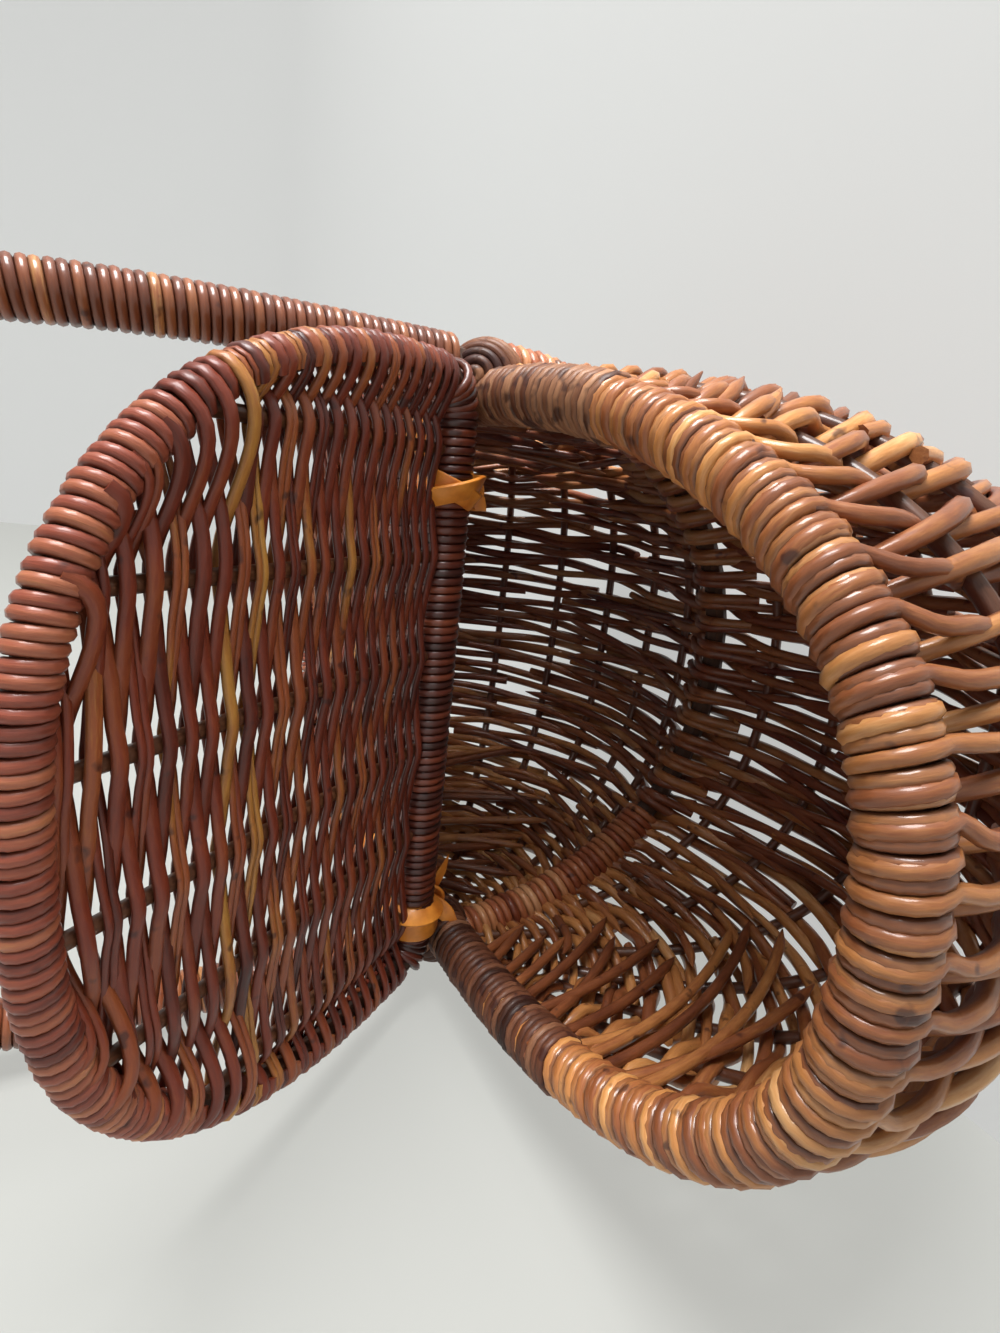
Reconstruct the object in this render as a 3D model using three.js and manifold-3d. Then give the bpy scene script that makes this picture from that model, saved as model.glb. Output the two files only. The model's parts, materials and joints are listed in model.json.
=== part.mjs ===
// A lidded gathering basket of varnished willow, in millimetres, +Z up.
// Two hoops cross at the ears: the level rim hoop, and an upright hoop whose top is the handle and whose
// lower half is the keel. Ribs spring from ear to ear inside the weave, which turns round the rim and the
// keel, so that the body has two lobes. Two D-shaped lids hang on a crossbar by leather laces.
// X runs along the crossbar and the front lid is on -Y. The origin is under the middle of the basket, on
// the surface that it stands on.
import * as THREE from 'three';
import { mergeVertices } from 'three/addons/utils/BufferGeometryUtils.js';
import Module from 'manifold-3d';

const wasm = await Module();
wasm.setup();

// Body
const mouthHalfWidth = 80; // rim hoop's centreline, middle to ear
const mouthHalfLength = 136; // rim hoop's centreline, middle to front
const mouthSquareness = 2.35; // exponent of the rim's oval, 2 is an ellipse
const keelDepth = 104; // rim plane down to the keel's centreline
const keelSquareness = 2.1;
const handleRise = 190; // rim plane up to the handle's centreline
const handleSquareness = 3.6;
const lobeFullness = 20; // how far a lobe swells past a plain oval, between rim and keel
const lobeSquareness = 0.7; // what the ribs' exponent gains there
const flankSharpness = 3; // how soon below the rim the flanks reach the keel's width
const rimRodRadius = 4.2;
const hoopRodRadius = 3.6;
const wallThickness = 4;
const rimCover = 3; // weave turned round the rim hoop
const keelCover = 3.2; // weave turned round the keel
const baseCut = 1.2; // depth of the flat that each lobe is worn to underneath
const weaverPitch = 8.7; // along the rim, from one pair of weavers to the next
const weaverPairGap = 3.05; // between the two weavers of a pair
const weaverRelief = 1.6; // how far a weaver rises over a rib, and sinks behind the next
const earWeaveReach = 50; // along the rim from an ear to the first pair; the weave there is fine
const wornHeight = 10; // above the ground, where the weavers are worn smooth
const ribCount = 7; // in each lobe; every second one reaches the ears
const ribRadius = 2;
const ribTipRadius = 1.2;
const ribTaperReach = 30; // distance from the ears' axis over which a rib thins
const shortRibReach = 40; // distance from the ears' axis where the short ribs start
const lashingRadius = 11; // across the ear, along Y
const lashingHeight = 12;
const lashingDepth = 11; // along X
const crossbarRadius = 4.5;

// Lids
const lidOverhang = 3; // the frame's centreline beyond the rim's, at each side
const lidSetback = 15.5; // the bow's centreline behind the rim's, at the front
const lidSquareness = 2.6;
const lidCornerRadius = 10;
const lidRodRadius = 3.6; // in the hinge bar and the corners
const lidBowRadius = 2.6; // in the bow
const lidCover = 1.4; // weave turned round the bow
const lidThickness = 7; // over the ridges of the strands
const lidStrands = 14;
const lidStrandRelief = 0.8; // depth of the valleys between strands
const lidRibCount = 6;
const lidRibInset = 18; // the frame's centreline to the outermost ribs
const lidRibRadius = 2;
const hingeOffset = 12.5; // crossbar's axis to a lid's hinge axis
const frontLidOpening = 53.5; // degrees from closed
const backLidOpening = 0;

// Windings
const handleTurns = 28;
const handleCaneHalfWidth = 5.8;
const handleCaneHalfThickness = 1;
const handleBareLeg = 22; // height above the rim plane where the handle's winding starts
const lidTurns = 12;
const lidCaneHalfWidth = 5;
const lidCaneHalfThickness = 0.9;
const lidBareEnd = 12; // of the hinge bar, beyond each end of its winding
const turnSteps = 8;
const caneSides = 5;

// Laces
const laceInsets = { right: 25, left: 13 }; // from the rim's ears along the front hinge bar
const laceWidth = 11; // two passes side by side
const laceThickness = 1.2;
const laceKnotRadius = 3.2;
const laceTailLength = 13;
const laceTailHalfWidth = 2;
const laceTailSplay = Math.PI / 6; // each tail's lean from straight down
const laceSlotMargin = 1; // each side of a lace, in the lid's weave

// Fits and facets
const clearance = 0.3; // between pieces that touch
const ribClearance = 0.6; // on a rib's centre line; the hollow of the wall takes up the rest
const rodSides = 8;
const ribSides = 5;
const hoopSteps = 16; // in the keel, and in each half of the rim
const handleSteps = 24; // in the handle's arch
const archSteps = 128; // in the path that the handle's winding follows
const lobeSteps = 12; // along a rib
const earAngle = 0.07; // where the lobes' sheets start, inside the ear lashings
const bowSteps = 16;
const cornerSteps = 3;
const barSides = 12;
const lashingFacets = [10, 6];
const knotFacets = [6, 4];
const beltSegments = 5; // in each bend of a lace
const cutterSize = 600; // of the blocks that trim the lobes, larger than the basket

// Sizes that follow
const caneChord = Math.cos(Math.PI / turnSteps); // how near a turn's flats come, as a share of its radius
const hoopHalfWidth = mouthHalfWidth + rimRodRadius + clearance + hoopRodRadius;
const rimSleeveRadius = rimRodRadius + clearance + rimCover;
const keelSleeveRadius = hoopRodRadius + clearance + keelCover;
const handleCaneRadius = (hoopRodRadius + clearance + handleCaneHalfThickness) / caneChord;
const lidCaneRadius = (lidRodRadius + clearance + lidCaneHalfThickness) / caneChord;
const lidBarRadius = lidCaneRadius + lidCaneHalfThickness;
const lidSleeveRadius = lidBowRadius + clearance + lidCover;
const hingeHeight = rimSleeveRadius + clearance + lidBarRadius;
const lashingCentre = mouthHalfWidth + rimRodRadius;
const lidHalfWidth = mouthHalfWidth + lidOverhang;
const lidReach = mouthHalfLength - hingeOffset - lidSetback; // hinge bar to the middle of the bow
const lidRibSpacing = (2 * (lidHalfWidth - lidRibInset)) / (lidRibCount - 1);
const laceOffsets = { right: mouthHalfWidth - laceInsets.right, left: laceInsets.left - mouthHalfWidth };
const lidPanelStart = lidBarRadius + clearance;
const laceLoopRadius = lidBarRadius + clearance + laceThickness;

const axisX = new THREE.Vector3(1, 0, 0);
const axisY = new THREE.Vector3(0, 1, 0);
const axisZ = new THREE.Vector3(0, 0, 1);

const willow = {
  body: { color: 0x8a4f2a, roughness: 0.45 },
  handle: { color: 0x84421f, roughness: 0.4 },
  rib: { color: 0x5a3520, roughness: 0.55 },
  lid: { color: 0x6e3019, roughness: 0.4 },
  bar: { color: 0x54200f, roughness: 0.35 },
};
const laceLeather = { color: 0xc47f2c, roughness: 0.45 };

// A point of an oval whose corners fill out as the squareness grows
function ovalPoint(halfWidth, halfLength, squareness, angle) {
  const cosine = Math.cos(angle);
  const sine = Math.sin(angle);
  const reach = (Math.abs(cosine) ** squareness + Math.abs(sine) ** squareness) ** (-1 / squareness);
  return [halfWidth * cosine * reach, halfLength * sine * reach];
}

function bodyGeometry(positions, index) {
  const geometry = new THREE.BufferGeometry();
  geometry.setAttribute('position', new THREE.Float32BufferAttribute(positions, 3));
  geometry.setIndex(index);
  return geometry;
}

// Join rings of points into one closed body, capped at both ends or closed into a loop
function skinRings(rings, isLoop) {
  const sides = rings[0].length;
  const spans = isLoop ? rings.length : rings.length - 1;
  const index = [];
  for (let ring = 0; ring < spans; ring += 1) {
    const here = ring * sides;
    const next = ((ring + 1) % rings.length) * sides;
    for (let side = 0; side < sides; side += 1) {
      const turn = (side + 1) % sides;
      index.push(here + side, here + turn, next + turn, here + side, next + turn, next + side);
    }
  }
  if (!isLoop) {
    const last = spans * sides;
    for (let side = 1; side < sides - 1; side += 1) {
      index.push(0, side + 1, side, last, last + side, last + side + 1);
    }
  }
  return bodyGeometry(rings.flat().flatMap((point) => point.toArray()), index);
}

// Direction of a path at one of its points
function pathTangent(path, at, isLoop) {
  const count = path.length;
  const before = isLoop ? path[(at + count - 1) % count] : path[Math.max(at - 1, 0)];
  const after = isLoop ? path[(at + 1) % count] : path[Math.min(at + 1, count - 1)];
  return after.clone().sub(before).normalize();
}

// A round rod along a flat path; the radius may change from point to point
function rodGeometry(path, planeNormal, radiusAt, { isLoop = false, sides = rodSides } = {}) {
  const rings = path.map((centre, at) => {
    const across = pathTangent(path, at, isLoop).cross(planeNormal);
    return Array.from({ length: sides }, (_, side) => {
      const angle = (2 * Math.PI * side) / sides;
      return centre
        .clone()
        .addScaledVector(planeNormal, radiusAt(at) * Math.cos(angle))
        .addScaledVector(across, radiusAt(at) * Math.sin(angle));
    });
  });
  return skinRings(rings, isLoop);
}

// A wall between two grids of points, its outer and its inner face, which may differ in their number of rows
function wallGeometry(outer, inner) {
  const columns = outer[0].length;
  const positions = [...outer.flat(), ...inner.flat()].flatMap((point) => point.toArray());
  const out = (row, column) => row * columns + column;
  const into = (row, column) => outer.length * columns + row * columns + column;
  const outerEnd = outer.length - 1;
  const innerEnd = inner.length - 1;
  const index = [];
  const quad = (a, b, c, d) => index.push(a, b, c, a, c, d);
  for (let column = 0; column < columns - 1; column += 1) {
    for (let row = 0; row < outerEnd; row += 1) {
      quad(out(row, column), out(row + 1, column), out(row + 1, column + 1), out(row, column + 1));
    }
    for (let row = 0; row < innerEnd; row += 1) {
      quad(into(row, column), into(row, column + 1), into(row + 1, column + 1), into(row + 1, column));
    }
    quad(out(0, column), out(0, column + 1), into(0, column + 1), into(0, column));
    const next = column + 1;
    quad(out(outerEnd, next), out(outerEnd, column), into(innerEnd, column), into(innerEnd, next));
  }
  // The long edges: step along whichever face is behind
  [0, columns - 1].forEach((column) => {
    let a = 0;
    let b = 0;
    const triangle = (p, q, r) => index.push(...(column === 0 ? [q, p, r] : [p, q, r]));
    while (a < outerEnd || b < innerEnd) {
      if (b === innerEnd || (a + 1) / outerEnd <= (b + 1) / innerEnd) {
        triangle(out(a, column), out(a + 1, column), into(b, column));
        a += 1;
      } else {
        triangle(out(a, column), into(b + 1, column), into(b, column));
        b += 1;
      }
    }
  });
  return bodyGeometry(positions, index);
}

// Manifold solids, for cuts and joins
function solidOf(geometry) {
  const bare = geometry.clone();
  bare.deleteAttribute('normal');
  bare.deleteAttribute('uv');
  const merged = mergeVertices(bare);
  return new wasm.Manifold(
    new wasm.Mesh({
      numProp: 3,
      vertProperties: Float32Array.from(merged.attributes.position.array),
      triVerts: Uint32Array.from(merged.index.array),
    }),
  );
}

function geometryOf(solid) {
  const mesh = solid.getMesh();
  return bodyGeometry(mesh.vertProperties, Array.from(mesh.triVerts));
}

function meshOf(name, geometry, finish) {
  const shaded = geometry.toNonIndexed();
  shaded.computeVertexNormals();
  const mesh = new THREE.Mesh(shaded, new THREE.MeshStandardMaterial({ ...finish, metalness: 0 }));
  mesh.name = name;
  return mesh;
}

// A round bar along X
function barGeometry(radius, length) {
  return new THREE.CylinderGeometry(radius, radius, length, barSides).rotateZ(Math.PI / 2);
}

// Points spread evenly along a path
function evenPoints(path, count) {
  const curve = new THREE.CurvePath();
  for (let at = 0; at < path.length - 1; at += 1) {
    curve.add(new THREE.LineCurve3(path[at], path[at + 1]));
  }
  return curve.getSpacedPoints(count);
}

// Cane wound round a rod: one flat strip in a helix about a flat path
function windingRings(path, planeNormal, turns, radius, halfWidth, halfThickness) {
  const centres = evenPoints(path, turns * turnSteps);
  return centres.map((centre, at) => {
    const along = pathTangent(centres, at, false);
    const across = along.clone().cross(planeNormal);
    const angle = (2 * Math.PI * at) / turnSteps;
    const outward = planeNormal
      .clone()
      .multiplyScalar(Math.cos(angle))
      .addScaledVector(across, Math.sin(angle));
    return Array.from({ length: caneSides }, (_, side) => {
      const around = (2 * Math.PI * side) / caneSides;
      return centre
        .clone()
        .addScaledVector(outward, radius + halfThickness * Math.cos(around))
        .addScaledVector(along, -halfWidth * Math.sin(around));
    });
  });
}

// Least distance between the points of turns that lie side by side
function leastGap(rings) {
  let least = Infinity;
  rings.forEach((ring, at) => {
    const neighbours = rings.slice(at + turnSteps / 2, at + 2 * turnSteps).flat();
    ring.forEach((point) => {
      neighbours.forEach((other) => {
        least = Math.min(least, point.distanceTo(other));
      });
    });
  });
  return least;
}

// Paths of the hoops, about the middle of the mouth
const halfTurn = (steps) => Array.from({ length: steps + 1 }, (_, step) => (Math.PI * step) / steps);
const handlePath = halfTurn(handleSteps).map((angle) => {
  const [x, z] = ovalPoint(hoopHalfWidth, handleRise, handleSquareness, angle);
  return new THREE.Vector3(x, 0, z);
});
const keelPath = halfTurn(hoopSteps).map((angle) => {
  const [x, z] = ovalPoint(hoopHalfWidth, keelDepth, keelSquareness, angle);
  return new THREE.Vector3(x, 0, -z);
});
const hoopPath = [...handlePath.slice(0, -1), ...keelPath.slice(1).reverse()];
const frontRimPath = halfTurn(hoopSteps).map((angle) => {
  const [x, y] = ovalPoint(mouthHalfWidth, mouthHalfLength, mouthSquareness, angle);
  return new THREE.Vector3(x, -y, 0);
});
const backRimPath = frontRimPath.map((point) => new THREE.Vector3(-point.x, -point.y, 0));
const rimPath = [...frontRimPath.slice(0, -1), ...backRimPath.slice(0, -1)];

// A point of the front lobe: tilt runs from the rim, 0, to the keel, a quarter turn; sweep runs ear to ear
function lobePoint(tilt, sweep, offset) {
  const rimShare = Math.cos(tilt) ** 2;
  const keelShare = Math.sin(tilt) ** 2;
  const swell = Math.sin(2 * tilt);
  const reach = mouthHalfLength * rimShare + keelDepth * keelShare + lobeFullness * swell;
  const squareness = mouthSquareness * rimShare + keelSquareness * keelShare + lobeSquareness * swell;
  const narrowing = (hoopHalfWidth - mouthHalfWidth) * (1 - Math.sin(tilt)) ** flankSharpness;
  const halfWidth = hoopHalfWidth - narrowing;
  const [x, distance] = ovalPoint(halfWidth + offset, reach + offset, squareness, sweep);
  return new THREE.Vector3(x, -distance * Math.cos(tilt), -distance * Math.sin(tilt));
}

const tilts = Array.from({ length: ribCount + 2 }, (_, step) => (Math.PI / 2) * (step / (ribCount + 1)));
const sweeps = Array.from(
  { length: lobeSteps + 1 },
  (_, step) => earAngle + (Math.PI - 2 * earAngle) * (step / lobeSteps),
);
const lobeFace = (offset) => sweeps.map((sweep) => tilts.map((tilt) => lobePoint(tilt, sweep, offset)));
const lobeDepth = -Math.min(...lobeFace(wallThickness / 2).flat().map((point) => point.z));
const rimHeight = lobeDepth - baseCut;

// Sweeps at even distances along the rim
const rimArc = halfTurn(archSteps).map((sweep) => ({ sweep, point: lobePoint(0, sweep, 0), length: 0 }));
rimArc.slice(1).forEach((here, at) => {
  here.length = rimArc[at].length + here.point.distanceTo(rimArc[at].point);
});
const rimLength = rimArc[archSteps].length;

function rimSweep(length) {
  const after = rimArc.find((here, at) => at > 0 && here.length >= length);
  const before = rimArc[rimArc.indexOf(after) - 1];
  const share = (length - before.length) / (after.length - before.length);
  return THREE.MathUtils.lerp(before.sweep, after.sweep, share);
}

// The outside of a lobe: pairs of weavers, of which one rises over each rib where the other goes behind it
function wovenFace() {
  const pairs = Math.floor((rimLength - 2 * earWeaveReach) / weaverPitch) + 1;
  const firstPair = (rimLength - (pairs - 1) * weaverPitch) / 2;
  const weavers = Array.from({ length: 2 * pairs }, (_, weaver) => ({
    sweep: rimSweep(firstPair + Math.floor(weaver / 2) * weaverPitch + (weaver % 2 ? 0 : -weaverPairGap)),
    phase: weaver % 2 ? 1 : -1,
  }));
  const plain = sweeps.map((sweep) => ({ sweep, phase: 0 }));
  const lines = [
    ...plain.filter(({ sweep }) => sweep < weavers[0].sweep),
    ...weavers,
    ...plain.filter(({ sweep }) => sweep > weavers[2 * pairs - 1].sweep),
  ];
  return lines.map(({ sweep, phase }) =>
    tilts.map((tilt, rib) => {
      const smooth = lobePoint(tilt, sweep, wallThickness / 2);
      const worn = THREE.MathUtils.clamp((smooth.z + rimHeight) / wornHeight, 0, 1);
      const isRib = rib > 0 && rib <= ribCount;
      const rise = isRib ? worn * weaverRelief * phase * (-1) ** rib : 0;
      return lobePoint(tilt, sweep, wallThickness / 2 + rise);
    }),
  );
}

function earLashingSolid(side, margin) {
  const ball = new THREE.SphereGeometry(1, ...lashingFacets);
  ball.scale(lashingDepth + margin, lashingRadius + margin, lashingHeight + margin);
  ball.translate(side * lashingCentre, 0, 0);
  return solidOf(ball);
}

const rimRodSolid = (margin) =>
  solidOf(rodGeometry(rimPath, axisZ, () => rimRodRadius + margin, { isLoop: true }));
const hoopRodSolid = (margin) =>
  solidOf(rodGeometry(hoopPath, axisY, () => hoopRodRadius + margin, { isLoop: true }));
const rimSleeveSolid = (margin) =>
  solidOf(rodGeometry(frontRimPath, axisZ, () => rimSleeveRadius + margin));
const keelSleeveSolid = (margin) =>
  solidOf(rodGeometry(keelPath, axisY, () => keelSleeveRadius + margin));
const earLashings = (margin) => earLashingSolid(1, margin).add(earLashingSolid(-1, margin));

function crossbarGeometry(margin) {
  const length = 2 * (hoopHalfWidth - hoopRodRadius - clearance + margin);
  return barGeometry(crossbarRadius + margin, length).translate(0, 0, hingeHeight);
}

// One lobe's weave: a curved sheet with its edges turned round the rim and the keel
function lobeWallGeometry() {
  const otherHalf = new THREE.BoxGeometry(cutterSize, cutterSize, cutterSize);
  otherHalf.translate(0, cutterSize / 2 - clearance / 2, 0);
  const ground = new THREE.BoxGeometry(cutterSize, cutterSize, cutterSize);
  ground.translate(0, 0, -rimHeight - cutterSize / 2);
  const sheet = solidOf(wallGeometry(wovenFace(), lobeFace(-wallThickness / 2)));
  return geometryOf(
    sheet
      .add(rimSleeveSolid(0))
      .add(keelSleeveSolid(0))
      .subtract(rimRodSolid(clearance))
      .subtract(hoopRodSolid(clearance))
      .subtract(earLashings(clearance))
      .subtract(solidOf(otherHalf))
      .subtract(solidOf(ground)),
  );
}

// One rib, lying against the inside of the weave, its pointed ends tucked in at the ears
function lobeRibGeometry(tilt, reachesEars) {
  const offset = -(wallThickness / 2 + ribClearance + ribRadius);
  const points = sweeps.map((sweep) => lobePoint(tilt, sweep, offset));
  const distance = (point) => Math.hypot(point.y, point.z);
  const path = points.filter((point) => reachesEars || distance(point) > shortRibReach);
  const planeNormal = new THREE.Vector3(0, Math.sin(tilt), -Math.cos(tilt));
  const radiusAt = (at) => {
    const thinning = Math.max(0, 1 - distance(path[at]) / ribTaperReach);
    return ribRadius - (ribRadius - ribTipRadius) * thinning;
  };
  return geometryOf(
    solidOf(rodGeometry(path, planeNormal, radiusAt, { sides: ribSides }))
      .subtract(earLashings(clearance))
      .subtract(rimSleeveSolid(clearance))
      .subtract(keelSleeveSolid(clearance)),
  );
}

// The lid's frame, flat about its hinge bar, which lies on X; the bow reaches out along -Y
function lidBowPath() {
  const start = Math.atan2(lidCornerRadius / lidReach, 1);
  return Array.from({ length: bowSteps + 1 }, (_, step) => {
    const angle = start + (Math.PI - 2 * start) * (step / bowSteps);
    const [x, y] = ovalPoint(lidHalfWidth, lidReach, lidSquareness, angle);
    return new THREE.Vector3(x, -y, 0);
  });
}

function lidFramePath() {
  const centre = lidHalfWidth - lidCornerRadius;
  const corner = (side) =>
    Array.from({ length: cornerSteps }, (_, step) => {
      const angle = (Math.PI / 2) * (step / cornerSteps);
      return new THREE.Vector3(
        side * (centre + lidCornerRadius * Math.sin(angle)),
        -lidCornerRadius * (1 - Math.cos(angle)),
        0,
      );
    });
  return [...corner(1), ...lidBowPath(), ...corner(-1).reverse()];
}

function lidFrameSolid(margin) {
  const isBow = (at) => at >= cornerSteps && at <= cornerSteps + bowSteps;
  const radiusAt = (at) => (isBow(at) ? lidBowRadius : lidRodRadius) + margin;
  return solidOf(rodGeometry(lidFramePath(), axisZ, radiusAt, { isLoop: true }));
}

const lidSleeveSolid = (margin) =>
  solidOf(rodGeometry(lidBowPath(), axisZ, () => lidSleeveRadius + margin));

const lidRibPlaces = Array.from(
  { length: lidRibCount },
  (_, rib) => (rib - (lidRibCount - 1) / 2) * lidRibSpacing,
);

function lidRibBar(x, margin) {
  const start = lidPanelStart - margin;
  const bow = lidReach * (1 - Math.abs(x / lidHalfWidth) ** lidSquareness) ** (1 / lidSquareness);
  const length = bow - start;
  const bar = new THREE.CylinderGeometry(lidRibRadius + margin, lidRibRadius + margin, length, rodSides);
  return solidOf(bar.translate(x, -start - length / 2, 0));
}

// Room in the lid for a lace's turn round the hinge bar
function laceSlot(x) {
  const slot = barGeometry(laceLoopRadius + laceSlotMargin, laceWidth + 2 * laceSlotMargin);
  return solidOf(slot.translate(x, 0, 0));
}

const laceSlots = laceSlot(laceOffsets.right).add(laceSlot(laceOffsets.left));

const lidRibGeometry = (x) =>
  geometryOf(lidRibBar(x, 0).subtract(lidSleeveSolid(clearance)).subtract(laceSlots));

// The lid's panel: strands side by side along the hinge bar, turned over the bow, with slots for the laces
function lidWeaveGeometry() {
  const pitch = (lidReach - lidPanelStart) / lidStrands;
  const crest = lidThickness / 2;
  const valley = crest - lidStrandRelief;
  const ridges = Array.from({ length: lidStrands }, (_, strand) => lidPanelStart + strand * pitch);
  const top = ridges.flatMap((start) => [
    [start, valley],
    [start + pitch / 2, crest],
  ]);
  const end = [lidReach, valley];
  const under = [...top, end].reverse().map(([along, height]) => [along, -height]);
  const profile = [...top, end, ...under].map(([along, height]) => new THREE.Vector2(along, height));
  const section = new THREE.Shape(profile);
  const strands = new THREE.ExtrudeGeometry(section, { depth: 2 * lidHalfWidth, bevelEnabled: false });
  strands.translate(0, 0, -lidHalfWidth);
  strands.applyMatrix4(
    new THREE.Matrix4().makeBasis(axisY.clone().negate(), axisZ, axisX.clone().negate()),
  );
  const outline = lidBowPath().map((point) => new THREE.Vector2(point.x, point.y));
  outline.push(new THREE.Vector2(-lidHalfWidth, 0), new THREE.Vector2(lidHalfWidth, 0));
  const blank = new THREE.ExtrudeGeometry(new THREE.Shape(outline), {
    depth: 2 * lidThickness,
    bevelEnabled: false,
  });
  blank.translate(0, 0, -lidThickness);
  let panel = solidOf(strands)
    .intersect(solidOf(blank))
    .add(lidSleeveSolid(0))
    .subtract(lidFrameSolid(clearance));
  lidRibPlaces.forEach((x) => {
    panel = panel.subtract(lidRibBar(x, clearance));
  });
  return geometryOf(panel.subtract(laceSlots));
}

// One lace: a strap round the crossbar and a hinge bar, knotted underneath, with two pointed tails
function laceBeltShape(margin) {
  const small = crossbarRadius + clearance + margin;
  const large = lidBarRadius + clearance + margin;
  const lean = Math.acos((small - large) / hingeOffset);
  const belt = new THREE.Shape();
  belt.absarc(0, 0, small, -lean, lean, false);
  belt.absarc(-hingeOffset, 0, large, lean, 2 * Math.PI - lean, false);
  return belt;
}

function laceGeometry() {
  const outline = laceBeltShape(laceThickness);
  outline.holes.push(laceBeltShape(0));
  const belt = new THREE.ExtrudeGeometry(outline, {
    depth: laceWidth,
    bevelEnabled: false,
    curveSegments: beltSegments,
  });
  belt.translate(0, 0, -laceWidth / 2);
  const upright = new THREE.Matrix4().makeBasis(axisY, axisZ, axisX);
  belt.applyMatrix4(upright);
  const knotPlace = new THREE.Vector3(0, -hingeOffset / 2, -laceLoopRadius - laceKnotRadius / 2);
  const knot = new THREE.SphereGeometry(laceKnotRadius, ...knotFacets);
  knot.translate(knotPlace.x, knotPlace.y, knotPlace.z);
  let lace = solidOf(belt).add(solidOf(knot));
  [1, -1].forEach((side) => {
    const tail = new THREE.Shape();
    tail.moveTo(-laceTailHalfWidth, 0);
    tail.lineTo(laceTailHalfWidth, 0);
    tail.lineTo(laceTailHalfWidth, laceTailLength / 2);
    tail.lineTo(0, laceTailLength);
    tail.lineTo(-laceTailHalfWidth, laceTailLength / 2);
    const strap = new THREE.ExtrudeGeometry(tail, { depth: laceThickness, bevelEnabled: false });
    strap.translate(0, 0, -laceThickness / 2);
    strap.rotateZ(side * laceTailSplay);
    strap.rotateX(-Math.PI / 2);
    strap.translate(knotPlace.x, knotPlace.y, knotPlace.z);
    lace = lace.add(solidOf(strap));
  });
  return geometryOf(lace);
}

// One lid, flat about its hinge bar
function lidGroup(name) {
  const group = new THREE.Group();
  const barEnd = lidHalfWidth - lidBareEnd;
  const barPath = [new THREE.Vector3(-barEnd, 0, 0), new THREE.Vector3(barEnd, 0, 0)];
  const cane = windingRings(
    barPath,
    axisZ,
    lidTurns,
    lidCaneRadius,
    lidCaneHalfWidth,
    lidCaneHalfThickness,
  );
  console.log(`${name}_binding least gap between turns: ${leastGap(cane).toFixed(2)} mm`);
  group.add(meshOf(`${name}_frame`, geometryOf(lidFrameSolid(0)), willow.bar));
  group.add(meshOf(`${name}_binding`, skinRings(cane, false), willow.bar));
  group.add(meshOf(`${name}_weave`, lidWeaveGeometry(), willow.lid));
  lidRibPlaces.forEach((x, rib) => {
    group.add(meshOf(`${name}_rib_${rib + 1}`, lidRibGeometry(x), willow.rib));
  });
  return group;
}

// Half of the basket: a lobe with its ribs, its lid and the lid's laces, built on -Y
function halfGroup(name, lidOpening) {
  const half = new THREE.Group();
  half.add(meshOf(`${name}_wall`, lobeWallGeometry(), willow.body));
  tilts.slice(1, -1).forEach((tilt, rib) => {
    half.add(meshOf(`${name}_rib_${rib + 1}`, lobeRibGeometry(tilt, rib % 2 === 1), willow.rib));
  });
  Object.entries(laceOffsets).forEach(([side, x]) => {
    const lace = meshOf(`${name}_lace_${side}`, laceGeometry(), laceLeather);
    lace.position.set(x, 0, hingeHeight);
    half.add(lace);
  });
  const lid = lidGroup(`${name}_lid`);
  lid.position.set(0, -hingeOffset, hingeHeight);
  lid.rotation.x = -THREE.MathUtils.degToRad(lidOpening);
  half.add(lid);
  return half;
}

function earLashingGeometry(side) {
  return geometryOf(
    earLashingSolid(side, 0)
      .subtract(rimRodSolid(clearance))
      .subtract(hoopRodSolid(clearance))
      .subtract(solidOf(crossbarGeometry(clearance))),
  );
}

const basket = new THREE.Group();
basket.position.z = rimHeight;
basket.add(meshOf('rim_hoop', geometryOf(rimRodSolid(0)), willow.rib));
basket.add(meshOf('handle_hoop', geometryOf(hoopRodSolid(0)), willow.rib));
basket.add(meshOf('crossbar', crossbarGeometry(0), willow.bar));
basket.add(meshOf('right_ear_lashing', earLashingGeometry(1), willow.handle));
basket.add(meshOf('left_ear_lashing', earLashingGeometry(-1), willow.handle));

const archPath = evenPoints(handlePath, archSteps).filter((point) => point.z > handleBareLeg);
const handleCane = windingRings(
  archPath,
  axisY,
  handleTurns,
  handleCaneRadius,
  handleCaneHalfWidth,
  handleCaneHalfThickness,
);
console.log(`handle_binding least gap between turns: ${leastGap(handleCane).toFixed(2)} mm`);
basket.add(meshOf('handle_binding', skinRings(handleCane, false), willow.handle));

basket.add(halfGroup('front', frontLidOpening));
const backHalf = halfGroup('back', backLidOpening);
backHalf.rotation.z = Math.PI;
basket.add(backHalf);

export default basket;
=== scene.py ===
import json
import math

import bpy
import numpy as np
from mathutils import Matrix, Vector


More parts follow.
